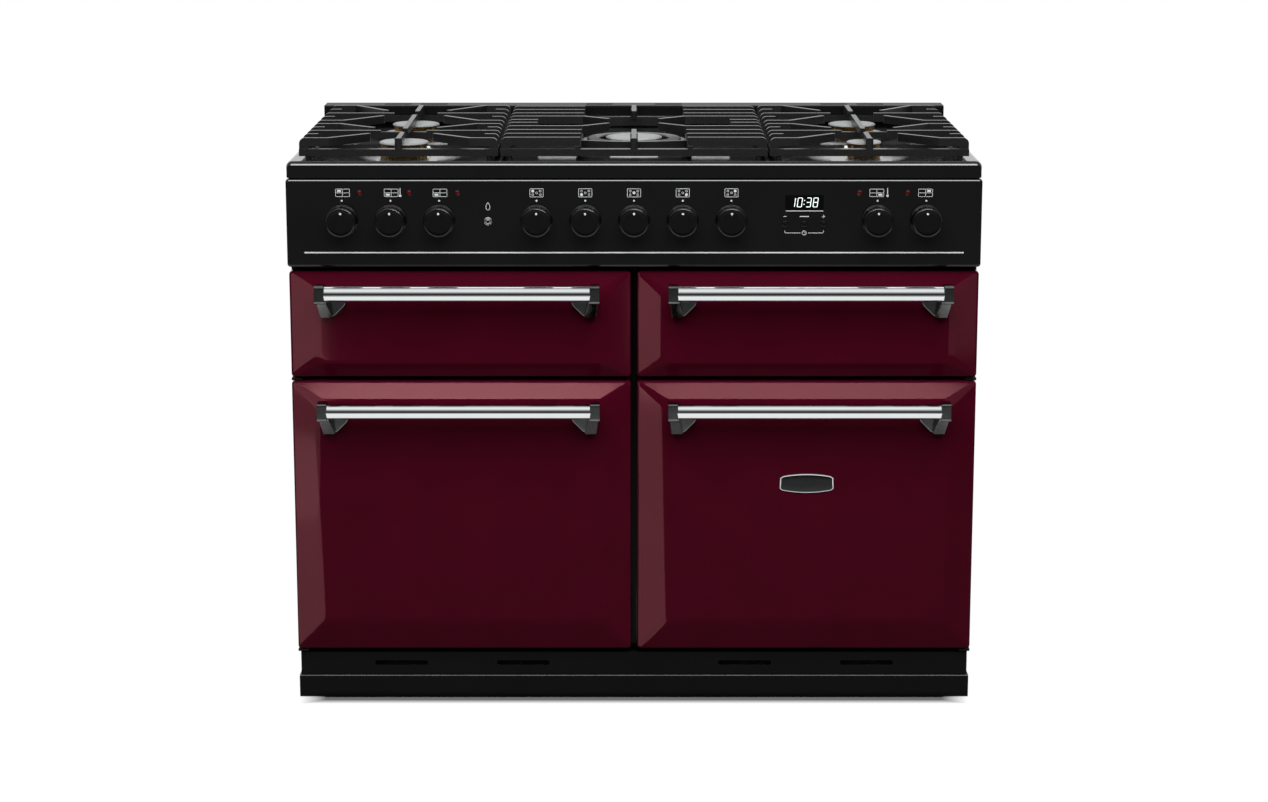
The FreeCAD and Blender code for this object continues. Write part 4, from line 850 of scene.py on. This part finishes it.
def make_clock(sizes):
    """The smoked window, the moulded case behind it and the slanted digits."""
    (x0, z0), (x1, z1) = clock_window()
    bm = bmesh.new()
    gap = 0.3
    outline = rounded_outline((x0 + gap, z0 + gap), (x1 - gap, z1 - gap), 0.8, 3)
    skin(bm, [[at(x, r, z) for x, z in outline] for r in (2.0, 0.5)])
    piece("clock_window", bm, ["smoked_acrylic"], "casing")
    low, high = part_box("clock_module")
    bm = bmesh.new()
    block(bm, (low.x, FACE_Y + 2.2 * MM, low.z), high)
    cuts = bmesh.new()
    for name in CLOCK_BUTTONS:
        x, z = middle_of(name)
        rod(cuts, CLOCK_BUTTON_HOLE, 12, at(x, -5, z), "Y", 24)
    mesh = cut_out(plain_mesh("clock_case", bm), cuts)
    piece("clock_case", mesh, ["moulded_nylon"], "casing", ["clock_module"])
    bm = bmesh.new()
    height = sizes.clock_digit / MM
    width, stroke, slant = 6.8, 1.15, 0.13
    depths = (0.55, 0.42)
    middle = Vector(((x0 + x1) / 2, (z0 + z1) / 2))
    for symbol, offset in (("1", -18.3), ("0", -7.3), ("3", 6.7), ("8", 17.6)):
        for segment in DIGITS[symbol]:
            ends = []
            for u, v in SEGMENTS[segment]:
                z = v * (height - stroke) / 2
                ends.append(middle + Vector((offset + (u - 0.5) * width + z * slant, z)))
            along = (ends[1] - ends[0]).normalized() * (stroke * 0.75)
            line(bm, (ends[0] + along, ends[1] - along), stroke, depths)
    for v in (-3.0, 3.0):
        line(bm, (middle + Vector((v * slant - 0.5, v)), middle + Vector((v * slant - 0.1, v))), 1.3, depths)
    piece("clock_digits", bm, ["lit_digits"], "casing")


def make_knobs(sizes):
    """Turned knobs, each with a skirt, a soft bevel round a dished face and a marker spot."""
    radius = sizes.knob_radius / MM
    skirt = sizes.knob_skirt / MM
    spot_radius = sizes.marker_radius / MM
    gap = 0.8
    front = -gap - sizes.knob_reach / MM
    bevel, dish, marker_share = 3.2, 0.4, 0.56
    spindle, spindle_end = 4.0, 24.0
    profile = [(0, front + dish), (radius * 0.55, front + dish), (radius - bevel - 3.0, front + dish * 0.8),
               (radius - bevel - 1.4, front + dish * 0.3)]
    profile += [(radius - bevel + u, front + bevel + v) for u, v in arc((0, 0), bevel, -90, 0, 8)]
    profile += [(radius, -5.2), (radius + 0.3, -4.4), (skirt - 0.9, -3.7), (skirt - 0.6, -3.5), (skirt, -2.9),
                (skirt, -1.1), (skirt - 0.3, -gap), (spindle, -gap), (spindle, spindle_end), (0, spindle_end)]
    marker = ((0, front + 0.12), (spot_radius * 0.7, front + 0.16), (spot_radius, front + 0.4),
              (spot_radius, front + 1.3), (0, front + 1.3))
    for name in KNOBS:
        x, z = middle_of(name)
        bm = bmesh.new()
        turned(bm, profile, at(x, 0, z), "Y", 72)
        turned(bm, marker, at(x, 0, z + marker_share * skirt), "Y", 24, 1)
        piece(name + "_cap", bm, ["polished_phenolic", "print_silver"], name, [name], 50)


# Profiles of the small turned parts
IGNITION_CAP = ((0, -2.2), (2.4, -2.2), (2.7, -2.5), (3.6, -2.5), (4.2, -2.2), (4.5, -1.6), (4.5, 10),
                (0, 10))
IGNITION_DOT = ((0, -2.35), (1.6, -2.3), (2.2, -2.1), (0, -2.1))
IGNITION_RING = ((4.75, 0.1), (4.75, -1.0), (5.1, -1.5), (5.8, -1.6), (6.3, -1.2), (6.5, 0.1))
LAMP_BEZEL = ((4.2, 0.1), (4.2, -0.5), (4.5, -0.7), (4.9, -0.5), (5.0, 0.1))
CLOCK_CAP = ((0, -2.6), (2.2, -2.8), (3.8, -3.0), (4.6, -2.7), (5.0, -2.1), (5.0, 5), (0, 5))


def make_buttons(sizes):
    """The ignition button with its chrome ring, the clock's buttons and a bezel for each lamp."""
    name = "ignition_button"
    x, z = middle_of(name)
    bm = bmesh.new()
    turned(bm, IGNITION_CAP, at(x, 0, z), "Y", 40)
    turned(bm, IGNITION_DOT, at(x, 0, z), "Y", 32, 1)
    piece("ignition_cap", bm, ["bright_chrome", "polished_phenolic"], name, [name], 50)
    bm = bmesh.new()
    turned(bm, IGNITION_RING, at(x, 0, z), "Y", 48, 0, True)
    for x, z in lamp_places():
        turned(bm, LAMP_BEZEL, at(x, 0, z), "Y", 32, 1, True)
    piece("panel_rings", bm, ["bright_chrome", "polished_phenolic"], "casing")
    for name in CLOCK_BUTTONS:
        x, z = middle_of(name)
        bm = bmesh.new()
        turned(bm, CLOCK_CAP, at(x, 0, z), "Y", 40)
        piece(name + "_cap", bm, ["polished_phenolic"], name, [name], 50)


def make_badge(sizes):
    """The bare barrel-shaped plate on the lower right door."""
    x, z = 278.2, 367.5
    half = sizes.badge_width / MM / 2
    tall = sizes.badge_height / MM / 2
    end = tall * 0.7
    round_from, round_off = 0.95, end * 0.16
    steps = 20
    outline = []
    for sign in (1, -1):
        for step in range(steps + 1):
            u = sign * half * (1 - 2 * step / steps)
            share = abs(u) / half
            v = end + (tall - end) * (1 - share * share)
            if share > round_from:
                v -= round_off * (share - round_from) / (1 - round_from)
            outline.append((u, sign * v))

    def rings(*places):
        """The outline at some (depth, inset) places."""
        shrinks = [(r, (half - inset) / half, (tall - inset) / tall) for r, inset in places]
        return [[at(x + u * across, r, z + v * up) for u, v in outline] for r, across, up in shrinks]

    bm = bmesh.new()
    skin(bm, rings((0.2, 0), (-1.6, 0), (-2.4, 0.5), (-2.7, 1.2), (-2.4, 2.2), (-1.5, 2.8), (0.2, 3.0)))
    skin(bm, rings((0.2, 2.6), (-1.3, 2.6), (-1.5, 3.4), (-1.7, 6.0), (-1.8, 10.0)), 1)
    piece("badge_plate", bm, ["bright_chrome", "badge_lacquer"], "right_oven_door")


# Hob, burners and pan supports. Heights on a burner count from the deck, in millimetres.

# Side, depth behind the panel front and cap radius of the four side burners
BURNERS = ((-1, 142.0, 40.0), (-1, 407.0, 40.0), (1, 407.0, 40.0), (1, 142.0, 28.0))
WOK_DEPTH = 284.0
WOK_HOLE = 80.5
DECK = 887.0
WELL = -22.0


def support_middle(side):
    """Place across of the burners under a side support, in millimetres."""
    return middle_of("left_pan_support" if side < 0 else "right_pan_support")[0]


def make_hob(sizes):
    """The pressed hob tray with a rolled rim, cut for its burners."""
    low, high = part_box("hob_tray")
    sheet = 2.0
    soft = sizes.hob_round / MM
    z0, z1 = low.z / MM, high.z / MM
    front, back = (low.y - FACE_Y) / MM, (high.y - FACE_Y) / MM
    places = [(sheet + soft * 0.5, z1 - sheet), (sheet, z1 - sheet - soft * 0.5), (sheet, z0), (0.0, z0)]
    places += arc((soft, z1 - soft), soft, 180, 90, 9)
    rows = []
    for inset, z in places:
        inner = z < z1 - sheet and inset >= sheet
        start = (low.x / MM + inset, front + inset)
        end = (high.x / MM - inset, back - (sheet if inner else 0.0))
        rows.append([at(x, r, z) for x, r in rounded_outline(start, end, max(9 - inset * 0.5, 3))])
    bm = bmesh.new()
    skin(bm, rows)
    cuts = bmesh.new()
    below, through = 5, 40
    holes = [(support_middle(side), r, cap + 2) for side, r, cap in BURNERS] + [(0.0, WOK_DEPTH, WOK_HOLE)]
    for x, r, radius in holes:
        rod(cuts, radius, through, at(x, r, z0 - below), "Z", 64)
    mesh = cut_out(plain_mesh("hob_enamel", bm), cuts)
    piece("hob_enamel", mesh, ["vitreous_black"], "casing", ["hob_tray"], 38)


def cup_profile(cup, lip):
    """A burner's base: a cup of one radius in the hob, and its rolled lip on the hob."""
    return [(0, WELL - 2), (cup, WELL - 2), (cup, 0.05), *lip, (cup + 0.6, 2), (cup - 1, 1.4), (cup - 2, -1),
            (cup - 2, WELL), (0, WELL)]


def tooth_ring(bm, tree, centre, radius, low, high, count):
    """Teeth round a burner head between two heights."""
    depth, share = 3.0, 0.68
    middle = radius - depth / 2
    grow(bm, tree, {
        "Teeth": count, "Ring Radius": middle * MM,
        "Tooth": (depth * MM, share * math.tau * middle / count * MM, (high - low) * MM),
        "Centre": tuple(centre + Vector((0, 0, (low + high) / 2 * MM))), "Finish": finish("turned_brass")})


def spark(bm, centre, side, reach, turn, post):
    """A spark electrode beside a burner: a glazed post with a foot and a neck radius, and its pin."""
    foot, neck, shoulder, height, pin = post
    turn = math.radians(turn)
    place = centre - Vector((side * math.cos(turn), math.sin(turn), 0)) * reach * MM
    seat, thin, lap = 1.6, 0.7, 0.4
    glazed = ((0, seat), (foot, seat), (foot, shoulder), (neck, height), (0, height))
    turned(bm, glazed, place, "Z", 20)
    bare = ((0, height - lap), (thin, height - lap), (thin, height + pin), (0, height + pin + 0.2))
    turned(bm, bare, place, "Z", 10, 1)


def side_burner(bases, heads, caps, sparks, teeth, side, r, cap):
    """A burner with a flat cap of one radius, under a side support."""
    centre = at(support_middle(side), r, DECK)
    lip = [(cap + 11.6, 0.05), (cap + 12, 0.6), (cap + 11.2, 1.7), (cap + 9.6, 2)]
    turned(bases, cup_profile(cap + 1.7, lip), centre, "Z", 64)
    ring = cap - 2
    ports, top = 8.4, 13.0
    crown = ((0, WELL), (cap - 0.6, WELL), (cap - 0.6, 2), (ring - 2.2, 3), (ring - 2.2, 5.2), (ring, 5.8),
             (ring, ports), (ring - 2.8, ports + 0.4), (ring - 2.8, top), (0, top))
    turned(heads, crown, centre, "Z", 64)
    tooth_ring(heads, teeth, centre, ring, ports, top, 36)
    lid = ((0, 0), (cap - 1, 0), (cap, 0.8), (cap, 1.8), (cap - 0.7, 2.9), (cap - 2.4, 3.6), (cap - 6, 3.95),
           (cap * 0.5, 4.0), (0, 4.0))
    turned(caps, [(u, top + v) for u, v in lid], centre, "Z", 72)
    aside = 5.0
    for turn, height in ((24, 10.5), (-128, 7.5)):
        spark(sparks, centre, side, cap + aside, turn, (3.2, 2.4, height * 0.7, height, 3.0))


def wok_burner(bases, heads, caps, sparks, teeth):
    """The middle burner: an outer ring and a small burner inside it."""
    centre = at(0.0, WOK_DEPTH, DECK)
    lip = [(90.0, 0.05), (90.5, 0.6), (89.6, 1.7), (88.0, 2)]
    turned(bases, cup_profile(80.2, lip), centre, "Z", 80)
    outer_crown = ((60, WELL), (76.5, WELL), (76.5, 0.5), (74, 1), (74, 3), (60, 3))
    turned(heads, outer_crown, centre, "Z", 80, 0, True)
    tooth_ring(heads, teeth, centre, 76.5, 0.4, 3, 60)
    outer_lid = ((58, 3), (78.5, 3), (78.5, 5), (77.4, 6.2), (75.5, 6.9), (61, 7), (59, 6.3), (58, 5))
    turned(caps, outer_lid, centre, "Z", 96, 1, True)
    turned(heads, ((0, WELL), (45, WELL), (45, 0), (42.4, 0.6), (42.4, 5), (0, 5)), centre, "Z", 64)
    tooth_ring(heads, teeth, centre, 45, 1, 5, 36)
    lid = ((0, 5), (46.2, 5), (47, 5.8), (47, 6.8), (46.3, 7.9), (44.4, 8.6), (40, 8.95), (20, 9), (0, 9))
    turned(caps, lid, centre, "Z", 80)
    for turn in (35, -128):
        spark(sparks, centre, 1, 83.5, turn, (2.6, 2.0, 3.6, 5.0, 2.6))


def make_burners(sizes):
    """Bases with a rolled lip, brass heads with flame slots, enamelled caps and spark electrodes."""
    bases, heads, caps, sparks = (bmesh.new() for _ in range(4))
    teeth = tooth_tree()
    for side, r, cap in BURNERS:
        side_burner(bases, heads, caps, sparks, teeth, side, r, cap)
    wok_burner(bases, heads, caps, sparks, teeth)
    piece("burner_cups", bases, ["cast_aluminium"], "casing", ["burner_bases"], 40)
    piece("burner_crowns", heads, ["turned_brass"], "casing", ["burner_heads"], 40)
    cap_finishes = ["satin_cap_enamel", "iron_casting_enamel"]
    piece("burner_lids", caps, cap_finishes, "casing", ["burner_caps"], 40)
    piece("spark_electrodes", sparks, ["glazed_ceramic", "zinc_plate"], "casing")


def make_supports(sizes):
    """The three castings: copies of their CAD meshes with their edges rounded as a foundry leaves them."""
    flat_angle, edge_angle = math.radians(1.5), math.radians(35)
    for side in ("left", "middle", "right"):
        node = side + "_pan_support"
        bm = merged_copy(node)
        bmesh.ops.dissolve_limit(bm, angle_limit=flat_angle, verts=bm.verts, edges=bm.edges)
        mesh = modified(plain_mesh(node, bm), "BEVEL", width=sizes.casting_edge, segments=2,
                        limit_method="ANGLE", angle_limit=edge_angle, use_clamp_overlap=True)
        piece(side + "_casting", mesh, ["iron_casting_enamel"], node, [node], 40)


# Oven furniture and casing


def make_wirework(sizes):
    """Round wire shelves in the ovens."""
    wires = wire_tree()
    front = (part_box("oven_shelves")[0].y - FACE_Y) / MM
    width, depth = 432.0, 360.0
    wire, count = 2.2, 21
    bar = wire * 1.15
    step = width / (count + 1)
    bm = bmesh.new()
    for x, levels in ((-277.0, (198.4, 360.3)), (277.0, (198.4, 360.3, 607.8))):
        left = x - width / 2
        for level in levels:
            z = level + bar
            for x_rod in (left + bar, left + width - bar):
                rod(bm, bar, depth, at(x_rod, front, z), "Y", 12)
            for r_rod in (front + bar, front + depth - bar):
                rod(bm, bar, width, at(left, r_rod, z), "X", 12)
            first = tuple(at(left + step, front, z + bar * 0.4))
            grow(bm, wires, {
                "Wires": count, "First": first, "Step": (step * MM, 0, 0), "Run": (0, depth * MM, 0),
                "Wire Radius": wire / 2 * MM, "Finish": finish("bright_wire")})
    piece("wire_shelves", bm, ["bright_wire"], "casing", ["oven_shelves"], 60)


def make_casing(sizes):
    """The back sheet, its screws, whose heads end at the CAD back face, and a pale bead along the kick strip,
    which is a painted highlight.
    """
    low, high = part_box("rear_panel")
    bm = merged_copy("rear_panel")
    share = sizes.back_sheet / (high.y - low.y)
    for vert in bm.verts:
        vert.co.y = low.y + (vert.co.y - low.y) * share
    piece("back_sheet", bm, ["galvanised_sheet"], "casing", ["rear_panel"])
    # A pale bead along the top of the kick strip: a painted highlight of its edge
    kick_low, kick_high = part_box("kick_strip")
    bead, sunk = 0.9, 0.4
    run = (kick_high.x - kick_low.x) / MM
    profile = ((0, 0.2), (bead - 0.3, 0.2), (bead, 0.5), (bead, run - 0.5), (bead - 0.3, run - 0.2),
               (0, run - 0.2))
    bm = bmesh.new()
    turned(bm, profile, Vector((kick_low.x, kick_low.y + bead * MM, kick_high.z - sunk * MM)), "X", 16)
    piece("kick_edge", bm, ["rubbed_enamel"], "casing")
    inset, tall, head = 12 * MM, 0.9 * MM, 4.2 * MM
    left, right, bottom, top = low.x + inset, high.x - inset, low.z + inset, high.z - inset
    across = (right - left) / 7
    up = (top - bottom) / 5
    rows = [(8, left, z, across, 0) for z in (bottom, top)]
    rows += [(4, x, bottom + up, 0, up) for x in (left, right)]
    screws = screw_tree()
    bm = bmesh.new()
    for count, x, z, x_step, z_step in rows:
        grow(bm, screws, {
            "Screws": count, "First": (x, high.y - tall, z), "Step": (x_step, 0, z_step), "Head Radius": head,
            "Head Height": tall, "Turn": (-math.pi / 2, 0, 0), "Finish": finish("zinc_plate")})
    piece("back_screws", bm, ["zinc_plate"], "casing")


# The CAD nodes that stay in view, by their finish
CARRIED = {
    "powder_coat": ("side_panels",),
    "galvanised_sheet": ("base_pan",),
    # The low trims take the darker enamel, which is painted shade
    "plinth_enamel": ("kick_strip", "plinth_panel", "front_frame"),
    "satin_black": ("flue_trim",),
    "moulded_nylon": ("levelling_feet",),
    "speckled_oven_enamel": (
        "left_oven_liner", "right_oven_liner", "grill_liner", "slow_oven_liner", "fan_baffles", "grill_pan",
        "grill_door_liner", "slow_oven_door_liner", "left_oven_door_liner", "right_oven_door_liner"),
    "silicone_rubber": ("door_seals",),
    "black_phosphate": ("door_hinges",),
    "zinc_plate": ("control_valves", "shelf_runners", "fan_motors", "left_oven_fan", "right_oven_fan"),
    "lamp_lens": ("indicator_lenses",),
    "turned_brass": ("gas_rail",),
    "heater_tube": ("heating_elements",),
}


def dress_carried(sizes):
    """Give the CAD nodes that stay in view their finishes."""
    for name, nodes in CARRIED.items():
        for node in nodes:
            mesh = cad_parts[node].data
            if not mesh.materials:
                mesh.materials.append(finish(name))
            for index in range(len(mesh.materials)):
                mesh.materials[index] = finish(name)


# Studio


def floor_finish():
    """Matt white studio floor, which shows as plain white and keeps a soft shadow. Gloss mirrors it as bright
    only in a pool round the cooker. Under the cooker its white and its gloss are taken away: a painted
    shadow."""
    material = bpy.data.materials.new("studio_floor")
    material.use_nodes = True
    tree = material.node_tree
    shader = tree.nodes["Principled BSDF"]
    shader.inputs["Base Color"].default_value = linear("686868")
    shader.inputs["Roughness"].default_value = 0.9
    shader.inputs["Specular IOR Level"].default_value = 0.0
    rays = add(tree, "ShaderNodeLightPath").outputs
    place = add(tree, "ShaderNodeTexCoord").outputs["Object"]
    bright_within, dark_beyond, mirrored_level, seen_level = 1.5, 2.4, 0.78, 0.92
    away = add(tree, "ShaderNodeVectorMath", {0: place}, operation="LENGTH").outputs["Value"]
    pool = add(tree, "ShaderNodeMapRange", {
        "Value": away, "From Min": bright_within, "From Max": dark_beyond, "To Min": 1.0, "To Max": 0.05})
    glossy = add(tree, "ShaderNodeMath", {0: rays["Is Glossy Ray"], 1: pool}, operation="MULTIPLY")
    mirrored = add(tree, "ShaderNodeMath", {0: glossy, 1: mirrored_level}, operation="MULTIPLY")
    seen = add(tree, "ShaderNodeMath", {
        0: rays["Is Camera Ray"], 1: rays["Is Transmission Ray"]}, operation="MAXIMUM")
    plain = add(tree, "ShaderNodeMath", {0: seen, 1: seen_level}, operation="MULTIPLY")
    # Under the cooker's footprint the floor's glow fades to none: a painted shadow
    low, high = CAD_BOX
    middle, half = (low + high) / 2, (high - low) / 2
    depth_share, painted_shadow_from = 0.88, 0.92
    centre, reach = (middle.x, middle.y, 0.0), (half.x, half.y * depth_share, 1.0)
    off = add(tree, "ShaderNodeVectorMath", {0: place, 1: centre}, operation="SUBTRACT")
    share = add(tree, "ShaderNodeVectorMath", {0: off, 1: reach}, operation="DIVIDE")
    share = add(tree, "ShaderNodeVectorMath", {0: share}, operation="ABSOLUTE")
    sides = add(tree, "ShaderNodeSeparateXYZ", {0: share}).outputs
    furthest = add(tree, "ShaderNodeMath", {0: sides["X"], 1: sides["Y"]}, operation="MAXIMUM")
    clear = add(tree, "ShaderNodeMapRange", {"Value": furthest, "From Min": painted_shadow_from, "From Max": 1.0})
    lift = add(tree, "ShaderNodeMath", {0: plain, 1: mirrored}, operation="MAXIMUM")
    lift = add(tree, "ShaderNodeMath", {0: lift, 1: clear}, operation="MULTIPLY")
    glow = add(tree, "ShaderNodeEmission", {"Strength": lift})
    both = add(tree, "ShaderNodeAddShader", {0: shader, 1: glow})
    tree.links.new(both.outputs[0], tree.nodes["Material Output"].inputs["Surface"])
    return material


def studio_world():
    """A white surround, but with the unlit room in front that metal mirrors as a dark line."""
    world = bpy.data.worlds.new("studio")
    world.use_nodes = True
    bpy.context.scene.world = world
    tree = world.node_tree
    tree.nodes.clear()
    rays = add(tree, "ShaderNodeLightPath").outputs
    way = add(tree, "ShaderNodeTexCoord").outputs["Generated"]
    parts = add(tree, "ShaderNodeSeparateXYZ", {0: way}).outputs
    band = add(tree, "ShaderNodeValToRGB", {"Fac": parts["Z"]})
    ramp = band.color_ramp
    ramp.elements[0].color = (0.02, 0.02, 0.02, 1)
    ramp.elements[1].color = (0.75, 0.75, 0.75, 1)
    for position, level in ((0.2, 0.03), (0.42, 0.2), (0.62, 0.62), (0.8, 1.0), (0.95, 0.95)):
        ramp.elements.new(position).color = (level, level, level, 1)
    front = add(tree, "ShaderNodeMapRange", {"Value": parts["Y"], "From Min": 0.15, "From Max": -0.25})
    behind = add(tree, "ShaderNodeMapRange", {
        "Value": parts["Z"], "From Min": 0.5, "From Max": 0.85, "To Min": 1.0, "To Max": 0.6})
    room = add(tree, "ShaderNodeMix", {0: front, 6: behind, 7: band}, data_type="RGBA").outputs[2]
    overhead = add(tree, "ShaderNodeMapRange", {"Value": parts["Z"], "To Min": 0.1, "To Max": 0.8})
    white = (1, 1, 1, 1)
    seen = add(tree, "ShaderNodeBackground", {"Color": white, "Strength": 1.0})
    mirrored = add(tree, "ShaderNodeBackground", {"Color": room, "Strength": 1.0})
    fill = add(tree, "ShaderNodeBackground", {"Color": white, "Strength": overhead})
    plain = add(tree, "ShaderNodeMath", {
        0: rays["Is Camera Ray"], 1: rays["Is Transmission Ray"]}, operation="MAXIMUM")
    first = add(tree, "ShaderNodeMixShader", {0: rays["Is Glossy Ray"], 1: fill, 2: mirrored})
    second = add(tree, "ShaderNodeMixShader", {0: plain, 1: first, 2: seen})
    add(tree, "ShaderNodeOutputWorld", {"Surface": second})


def softbox(name, place, aim, width, height, radiance, gloss_on=()):
    """A light that points at a place, given by how bright its face looks. A gloss light is seen only mirrored
    in some pieces."""
    slim = 0.5
    data = bpy.data.lights.new(name, "AREA")
    data.shape = "ELLIPSE" if min(width, height) < slim else "RECTANGLE"
    data.size = width
    data.size_y = height
    data.energy = radiance * math.pi * width * height
    made = held(data)
    made.visible_camera = False
    made.visible_glossy = bool(gloss_on)
    made.visible_diffuse = not gloss_on
    made.location = place
    made.rotation_euler = (Vector(aim) - Vector(place)).to_track_quat("-Z", "Y").to_euler()
    if gloss_on:
        lit = bpy.data.collections.new(name + "_pieces")
        for piece_name in gloss_on:
            lit.objects.link(bpy.data.objects[piece_name])
        made.light_linking.receiver_collection = lit


def make_stage(sizes):
    """The floor, the surround, one light overhead, the lights that gloss mirrors, and the photo's camera."""
    bm = bmesh.new()
    half, depth = 14.0, 0.05
    block(bm, (-half, -half, -depth), (half, half, 0.0))
    mesh = plain_mesh("studio_floor", bm)
    mesh.materials.append(floor_finish())
    held(mesh)
    studio_world()
    upper = ["grill_door_front", "slow_oven_door_front"]
    lower = ["left_oven_door_front", "right_oven_door_front"]
    caps = [name + "_cap" for name in KNOBS]
    tops = ["hob_enamel", "control_panel_enamel", "left_casting", "middle_casting", "right_casting"]
    softbox("overhead_softbox", (0.0, -2.2, 2.7), (0.0, -0.2, 0.5), 3.2, 2.2, 6.5)
    softbox("left_softbox", (-1.26, -1.6, 0.68), (-1.26, -0.2, 0.68), 1.23, 1.0, 19.5, upper + lower)
    softbox("left_low_softbox", (-1.25, -1.15, 0.2), (-0.6, -0.2, 0.3), 0.9, 0.36, 7.0, lower)
    softbox("right_softbox", (1.3, -1.6, 0.75), (1.3, -0.2, 0.75), 1.0, 1.0, 6.4, upper + lower)
    softbox("left_strip_softbox", (-0.46, -3.3, 2.23), (-0.28, -0.2, 0.45), 1.0, 0.46, 60.0, lower[:1])
    softbox("right_strip_softbox", (0.46, -3.3, 2.23), (0.28, -0.2, 0.45), 1.0, 0.46, 44.0, lower[1:])
    softbox("knob_softbox", (0.35, -1.5, 2.1), (0.1, -0.27, 0.8), 1.8, 0.3, 16.0, caps)
    softbox("edge_softbox", (0.0, -1.6, 2.4), (0.0, -0.3, 0.85), 2.8, 1.1, 18.0, tops)
    softbox("left_floor_softbox", (-0.98, -0.82, 0.1), (-0.92, -0.75, 0.9), 0.48, 1.15, 12.0, lower[:1])
    softbox("middle_floor_softbox", (-0.5, -1.15, 0.13), (-0.44, -1.05, 1.1), 0.48, 1.9, 12.5, lower[1:])
    data = bpy.data.cameras.new("camera")
    data.sensor_width = 36.0
    data.lens = 80.6
    ahead, up, pitch = 4.45, 1.437, 11.86
    camera = held(data)
    camera.location = (0.0, FACE_Y - ahead, up)
    camera.rotation_euler = (math.radians(90 - pitch), 0.0, 0.0)
    bpy.context.scene.camera = camera
    bpy.context.scene.view_settings.view_transform = "Standard"


# Operators, one for each piece or group of like pieces


class CookerStep:
    """Shared by the operators below: run an operator's makers, each with the scene's sizes."""
    bl_options = {"REGISTER", "UNDO"}

    def execute(self, context):
        for make in self.makers:
            make(context.scene.cooker_sizes)
        return {"FINISHED"}


class COOKER_OT_doors(CookerStep, bpy.types.Operator):
    """Make the four bevelled door fronts"""
    bl_idname = "cooker.doors"
    bl_label = "Door fronts"
    makers = (make_doors,)


class COOKER_OT_handles(CookerStep, bpy.types.Operator):
    """Make the bar handles and their brackets"""
    bl_idname = "cooker.handles"
    bl_label = "Bar handles"
    makers = (make_handles,)


class COOKER_OT_panel(CookerStep, bpy.types.Operator):
    """Make the control panel, its line and its printed marks"""
    bl_idname = "cooker.panel"
    bl_label = "Control panel"
    makers = (make_panel, make_marks)


class COOKER_OT_clock(CookerStep, bpy.types.Operator):
    """Make the clock window and its digits"""
    bl_idname = "cooker.clock"
    bl_label = "Clock"
    makers = (make_clock,)


class COOKER_OT_knobs(CookerStep, bpy.types.Operator):
    """Make the ten knobs"""
    bl_idname = "cooker.knobs"
    bl_label = "Knobs"
    makers = (make_knobs,)


class COOKER_OT_buttons(CookerStep, bpy.types.Operator):
    """Make the ignition button, the clock buttons and the lamp bezels"""
    bl_idname = "cooker.buttons"
    bl_label = "Buttons and bezels"
    makers = (make_buttons,)


class COOKER_OT_badge(CookerStep, bpy.types.Operator):
    """Make the bare plate on the lower right door"""
    bl_idname = "cooker.badge"
    bl_label = "Bare plate"
    makers = (make_badge,)


class COOKER_OT_hob(CookerStep, bpy.types.Operator):
    """Make the hob tray"""
    bl_idname = "cooker.hob"
    bl_label = "Hob tray"
    makers = (make_hob,)


class COOKER_OT_burners(CookerStep, bpy.types.Operator):
    """Make the burners and their spark electrodes"""
    bl_idname = "cooker.burners"
    bl_label = "Burners"
    makers = (make_burners,)


class COOKER_OT_supports(CookerStep, bpy.types.Operator):
    """Make the three cast pan supports"""
    bl_idname = "cooker.supports"
    bl_label = "Pan supports"
    makers = (make_supports,)


class COOKER_OT_wirework(CookerStep, bpy.types.Operator):
    """Make the wire shelves"""
    bl_idname = "cooker.wirework"
    bl_label = "Wire shelves"
    makers = (make_wirework,)


class COOKER_OT_casing(CookerStep, bpy.types.Operator):
    """Make the back sheet, its screws and the kick strip's bead, a painted highlight, and finish the parts
    kept from CAD
    """
    bl_idname = "cooker.casing"
    bl_label = "Casing"
    makers = (make_casing, dress_carried)


class COOKER_OT_stage(CookerStep, bpy.types.Operator):
    """Make the studio floor, the lights, the surround and the camera"""
    bl_idname = "cooker.stage"
    bl_label = "Studio"
    makers = (make_stage,)


STEPS = (
    COOKER_OT_doors, COOKER_OT_handles, COOKER_OT_panel, COOKER_OT_clock, COOKER_OT_knobs,
    COOKER_OT_buttons, COOKER_OT_badge, COOKER_OT_hob, COOKER_OT_burners, COOKER_OT_supports,
    COOKER_OT_wirework, COOKER_OT_casing, COOKER_OT_stage,
)


class VIEW3D_PT_cooker(bpy.types.Panel):
    """The cooker's steps, sizes and colours"""
    bl_label = "Range cooker"
    bl_idname = "VIEW3D_PT_cooker"
    bl_space_type = "VIEW_3D"
    bl_region_type = "UI"
    bl_category = "Cooker"

    def draw(self, context):
        for step in STEPS:
            self.layout.operator(step.bl_idname)
        for group in (context.scene.cooker_sizes, context.scene.cooker_colours):
            for name in group.bl_rna.properties.keys():
                if name not in ("rna_type", "name"):
                    self.layout.prop(group, name)


CLASSES = (CookerSizes, CookerColours) + STEPS + (VIEW3D_PT_cooker,)


def register():
    for kind in CLASSES:
        bpy.utils.register_class(kind)
    bpy.types.Scene.cooker_sizes = bpy.props.PointerProperty(type=CookerSizes)
    bpy.types.Scene.cooker_colours = bpy.props.PointerProperty(type=CookerColours)


def unregister():
    del bpy.types.Scene.cooker_colours
    del bpy.types.Scene.cooker_sizes
    for kind in reversed(CLASSES):
        bpy.utils.unregister_class(kind)


def main():
    register()
    for step in STEPS:
        getattr(bpy.ops.cooker, step.bl_idname.split(".")[1])()


if __name__ == "__main__":
    main()
